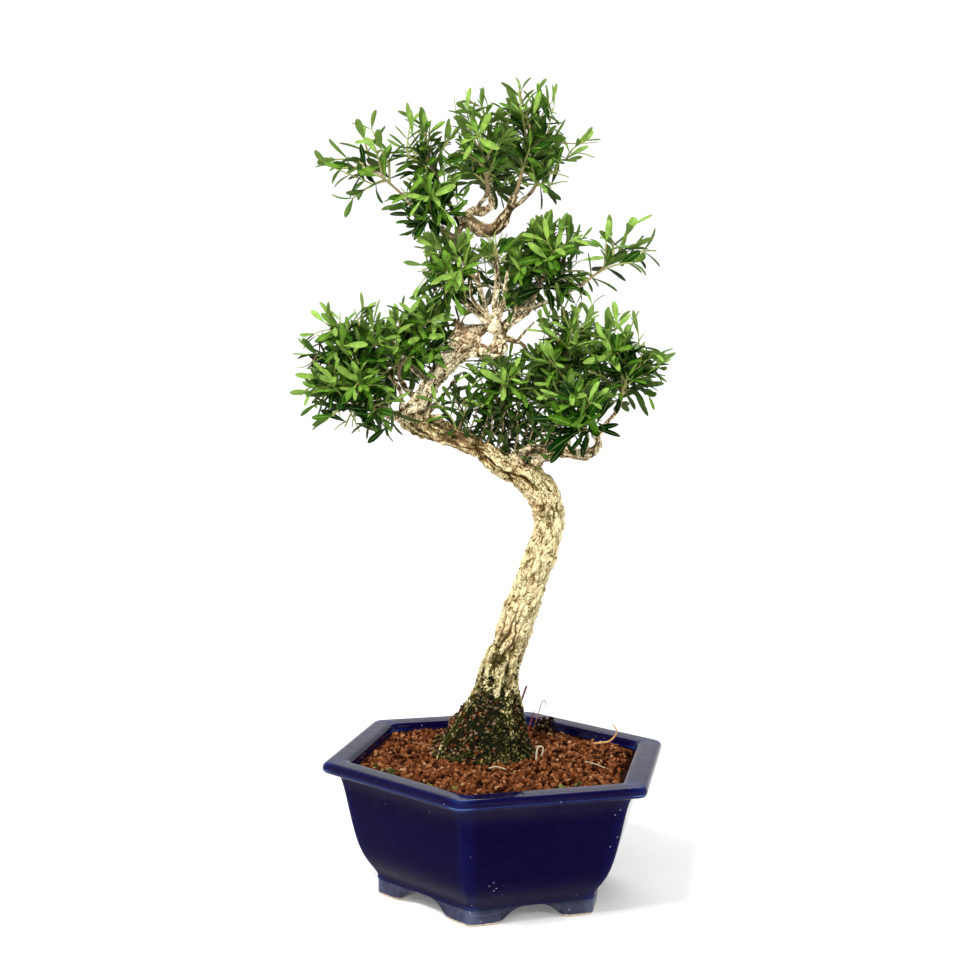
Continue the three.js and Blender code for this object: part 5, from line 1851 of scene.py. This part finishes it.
    def fits(self, mass: Mass, tips: Array) -> Array:
        """Whether leaf tips lie in the mass's own space and not deep in another's.

        Args:
            mass: the leaves' own mass.
            tips: places, one in each row.

        Returns:
            Yes or no for each place.
        """
        own = mass.distance(tips)
        others = np.min([other.distance(tips) for other in self.masses if other is not mass], axis=0)
        return (own <= self.limit) & (others > own - self.overlap) & ~self.open_sky(tips)

    def open_sky(self, points: Array) -> Array:
        """Whether points lie in a gap, seen along the line of sight from the front.

        Args:
            points: places, one in each row.

        Returns:
            Yes or no for each place.
        """
        spot = np.array(Studio.spot)
        seen = spot + (points - spot) * (spot[1] / (spot[1] - points[:, 1:2]))
        x, height, radius = np.array(self.gaps)[:, :, None].transpose(1, 0, 2)
        return (np.hypot(seen[:, 0] - x, seen[:, 2] - height) < radius).any(axis=0)

    def leaves(self, shoot: Shoot, random: Random, free: bool = False) -> list[Leaf]:
        """Crossed pairs of leaves along a shoot, smaller and steeper towards its tip.

        Args:
            shoot: shoot that carries the leaves.
            random: source of their small differences.
            free: whether they may leave the mass's space.

        Returns:
            The leaves that fit.
        """
        length = bow_length(shoot.curve)
        spacing = shoot.mass.gap
        count = min(max(2, int((length - self.first_pair) / spacing) + 2), shoot.mass.pairs)
        small, broad, plain = self.slimness
        slimness = small if shoot.leaf < self.full_leaf else plain if shoot.mass.finer else broad
        found = []
        for pair in range(count):
            share = 1 - pair * spacing / length
            if share < 0.05:
                break
            foot, ahead = shoot.at(share)
            side = across_heading(ahead, shoot.turn + pair * np.pi / 2 + random.normal(0, 0.2))
            age = min(pair / 2, 1)
            for sign in (1, -1):
                opening = np.radians(lerp(*self.leaf_opening, age)) * random.uniform(0.75, 1.25)
                out = unit(ahead * np.cos(opening) + sign * side * np.sin(opening) + (0, 0, 0.06))
                size = shoot.leaf * random.uniform(*self.leaf_length) * lerp(self.tip_leaf, 1, age)
                bright = shoot.vigour_and_light + lerp(0.5, -0.3, age) + random.normal(0, 0.12)
                facing = ahead + 0.35 * UP + random.normal(0, 0.25, 3)
                slender = random.uniform(*self.slender) * slimness
                found.append((foot, out, facing, size, size * slender, bright))
        middles, tips = (
            np.array([foot + out * size * part for foot, out, _, size, _, _ in found]) for part in (0.6, 1)
        )
        inside = free | (self.fits(shoot.mass, tips) & self.fits(shoot.mass, middles))
        depth = shoot.mass.distance(tips)
        leaves = []
        for n in np.flatnonzero(inside):
            foot, out, facing, size, width, bright = found[n]
            # Painted shade: leaves deep inside the mass, low in it or low in the tree, and in masses whose
            # light is below 0, get darker tones.
            height = (tips[n, 2] - shoot.mass.centre[2]) / shoot.mass.reach[2]
            bright += 1.5 * (depth[n] - 0.8) + 0.45 * np.clip(height, -1, 1) + shoot.mass.light
            bright += 0.002 * (tips[n, 2] - self.tree_middle)
            tone = list(Tone)[int(np.searchsorted(self.tone_steps, bright))]
            bend, cup = random.uniform(-0.25, 0.75), random.uniform(0.05, 0.45)
            leaves.append(Leaf(foot, out, facing, size, width, bend, cup, tone))
        return leaves

    def add_leaves(self, piece: Piece, leaves: list[Leaf]) -> None:
        """Adds leaves as thin closed blades.

        Along a blade its middle follows an arc of its own bend. Across it the half width follows
        a profile that is widest past the middle, and a six-cornered section has a groove along
        the midrib, two swelling halves that rise to the edges by the cup, and a keel below.

        Args:
            piece: piece that takes the leaves.
            leaves: the leaves.
        """
        foot, ahead, facing = (
            np.array(rows) for rows in zip(*((leaf.foot, leaf.ahead, leaf.facing) for leaf in leaves))
        )
        sizes = np.array([(leaf.length, leaf.width, leaf.bend, leaf.cup) for leaf in leaves])
        length, width, bend, cup = np.split(sizes, 4, axis=1)
        edge = unit(np.cross(ahead, facing))
        normal = np.cross(edge, ahead)
        u = np.array(self.stations)
        arc = np.where(np.abs(bend) < 0.02, 0.02, bend)
        along = np.sin(arc * u) / arc * length
        drop = (1 - np.cos(arc * u)) / arc * length
        middle = foot[:, None] + ahead[:, None] * along[..., None] - normal[:, None] * drop[..., None]
        top = normal[:, None] * np.cos(arc * u)[..., None] + ahead[:, None] * np.sin(arc * u)[..., None]
        half = width / 2 * np.array(self.widths)
        across = np.array([1, 0, -1, -0.5, 0, 0.5])
        swell = np.array([0, 0, 0, 0.14, 0.0, 0.14])
        rise = (cup[..., None] * np.abs(across) + swell) * half[..., None]
        rise[..., 1] = -self.thickness * np.minimum(1, half * 2)
        points = middle[..., None, :] + edge[:, None, None] * (half[..., None] * across)[..., None]
        points = points + top[..., None, :] * rise[..., None]
        rings, around = len(u), len(across)
        step = (np.arange(len(leaves)) * rings * around)[:, None, None]
        upper = np.tile(np.array([1, 1, 0, 0, 0, 0]), rings - 1)
        tone = np.array([2 * leaf.tone.number for leaf in leaves])
        slots = [(tone[:, None] + upper).ravel(), tone + 1, tone + 1]
        faces = [(part + step).reshape(-1, part.shape[1]) for part in closed_faces(rings, around)]
        piece.add(points, faces, slots, across=np.abs(across) * np.ones(points.shape[:-1]))

    def grow(self) -> tuple[list[Shoot], list[Leaf]]:
        """Grows every mass from its stem to its leaves.

        Returns:
            Every shoot and every leaf.
        """
        random = np.random.default_rng(12)
        shoots, leaves = [], []
        for mass in self.masses:
            stem = self.stem(mass)
            twigs = self.twigs(mass, stem)
            finer = [side for twig in twigs for side in self.side_shoots(twig, random)]
            shoots += [stem, *twigs, *finer]
            for shoot in (*twigs, *finer):
                leaves += self.leaves(shoot, random)
        for shoot in self.stand_outs(shoots):
            shoots.append(shoot)
            leaves += self.leaves(shoot, random, free=True) if shoot.leaf else []
        return shoots, leaves

    def dress(self) -> None:
        """Builds the twigs, and the leaves as four pieces: apex, middle tier, left and right."""
        shoots, leaves = self.grow()
        twigs = Piece("twigs")
        shares = np.linspace(0, 1, 7)
        for shoot in shoots:
            radii = lerp(shoot.thick, shoot.thin, shares)
            twigs.add_tube(bowed(shoot.curve, shares), radii, 6, young=shoot.young + 0.2 * shares)
        skin = LeafSkin()
        finishes = [side(tone) for tone in Tone for side in (skin.upper, skin.under)]
        tiers = {"apex_leaves": [], "middle_leaves": [], "left_leaves": [], "right_leaves": []}
        apex, middle, left = self.tiers
        for leaf in leaves:
            x, _, height = leaf.foot
            low = "left_leaves" if x < left else "right_leaves"
            name = "apex_leaves" if height > apex else "middle_leaves" if height > middle else low
            tiers[name].append(leaf)
        names = [f"foliage_{mass.name}" for mass in self.masses]
        twigs.build([Twigwood().material("twig skin")], names, "foliage")
        for name, tier in tiers.items():
            piece = Piece(name)
            self.add_leaves(piece, tier)
            piece.build(finishes, names, "foliage", crease=70)
            LOG.info("%s: %d leaves", name, len(tier))


# Studio


@dataclass
class Studio:
    """Pale seamless floor, soft lights and the camera at the photograph's angle."""

    # Camera: its place, its turns and its focal length in pixels of the frame.
    spot: tuple = (0, -744.52, 272.94)
    pitch: float = np.radians(4.10)
    yaw: float = np.radians(-0.618)
    roll: float = np.radians(1.26)
    focal: float = 1363.06
    frame_width: float = 980
    sensor: float = 36.0
    target: tuple = (0, 0, 0.22)  # middle of the tree, in metres, that the lights face

    def camera(self) -> None:
        """Camera from its place, its three turns and its focal length in pixels of the frame."""
        level = np.array([np.sin(self.yaw), np.cos(self.yaw), 0])
        ahead = level * np.cos(self.pitch) - UP * np.sin(self.pitch)
        right = np.array([np.cos(self.yaw), -np.sin(self.yaw), 0])
        up = np.cross(right, ahead)
        rolled = right * np.cos(self.roll) + up * np.sin(self.roll)
        upright = up * np.cos(self.roll) - right * np.sin(self.roll)
        data = bpy.data.cameras.new("camera")
        data.sensor_width = self.sensor
        data.sensor_fit = "HORIZONTAL"
        data.lens = self.focal / self.frame_width * self.sensor
        data.clip_start, data.clip_end = 0.01, 50
        camera = placed("camera", data)
        turn = Matrix(np.column_stack([rolled, upright, -ahead]).tolist()).to_4x4()
        camera.matrix_world = Matrix.Translation(np.array(self.spot) * MM + POT_AXIS) @ turn
        bpy.context.scene.camera = camera

    def floor(self) -> None:
        """Round floor whose edge curves up into a wall: a profile turned about the pot's axis."""
        bend = np.linspace(0, np.pi / 2, 16)
        radius = np.concatenate([[0.3, 1.0], 1.8 + 1.2 * np.sin(bend), [3.0]])
        height = np.concatenate([[0, 0], 1.2 - 1.2 * np.cos(bend), [3.2]])
        around = 96
        points = raised(radius[:, None, None] * on_circle(full_turn(around)), height)
        faces = band_faces(len(radius), around)[:, ::-1].tolist() + [list(range(around))]
        mesh = bpy.data.meshes.new("floor")
        mesh.from_pydata((points.reshape(-1, 3) + POT_AXIS).tolist(), [], faces)
        mesh.shade_smooth()
        wiring = Wiring("pale floor", 0.75, Emission_Strength=0.14)
        colour = wiring.ramp(wiring.grain(2.5, 2), (0.2, (0.86, 0.86, 0.86)), (0.8, (0.9, 0.9, 0.9)))
        mesh.materials.append(wiring.finish(colour))
        floor = placed("floor", mesh)
        floor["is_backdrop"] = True

    def light(self, name: str, place: tuple, size: float, power: float, height: float = 0) -> None:
        """Square or long soft light that faces the middle of the tree.

        Args:
            name: name of the lamp.
            place: its middle in metres from the foot of the pot's axis.
            size: width in metres.
            power: power in watts.
            height: height in metres, or 0 for a square.
        """
        data = bpy.data.lights.new(name, "AREA")
        data.shape = "RECTANGLE"
        data.size, data.size_y, data.energy = size, height or size, power
        lamp = placed(name, data)
        heading = unit(np.array(self.target) - place)
        turn = Matrix(turned_to(-heading).tolist()).to_4x4()
        lamp.matrix_world = Matrix.Translation(np.array(place) + POT_AXIS) @ turn

    def dress(self) -> None:
        """Builds the floor, the lights, the sky and the camera."""
        self.camera()
        self.floor()
        self.light("key light", (-0.8, -1.1, 1.9), 0.4, 42)
        self.light("strip light", (0.2, -1.7, 1.25), 2.2, 14, 0.05)
        self.light("back light", (0.3, 1.7, 1.8), 1.2, 18)
        bpy.context.scene.view_settings.view_transform = "Standard"
        world = bpy.data.worlds.new("studio air")
        world.use_nodes = True
        air = world.node_tree.nodes["Background"]
        air.inputs["Color"].default_value = (1, 1, 1, 1)
        air.inputs["Strength"].default_value = 0.34
        bpy.context.scene.world = world


def main() -> None:
    """Builds the studio, the pot, the ground, the wood and the foliage."""
    logging.basicConfig(level=logging.INFO, format="%(message)s")
    pot = Pot()
    for part in (Studio(), pot, Ground(pot), Wood(), Foliage()):
        part.dress()
        LOG.info("%s done", type(part).__name__)
    boxes = {"cad": CAD_BOX, "visual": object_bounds()}
    sizes = {name: [list(corner) for corner in box] for name, box in boxes.items()}


if __name__ == "__main__":
    main()
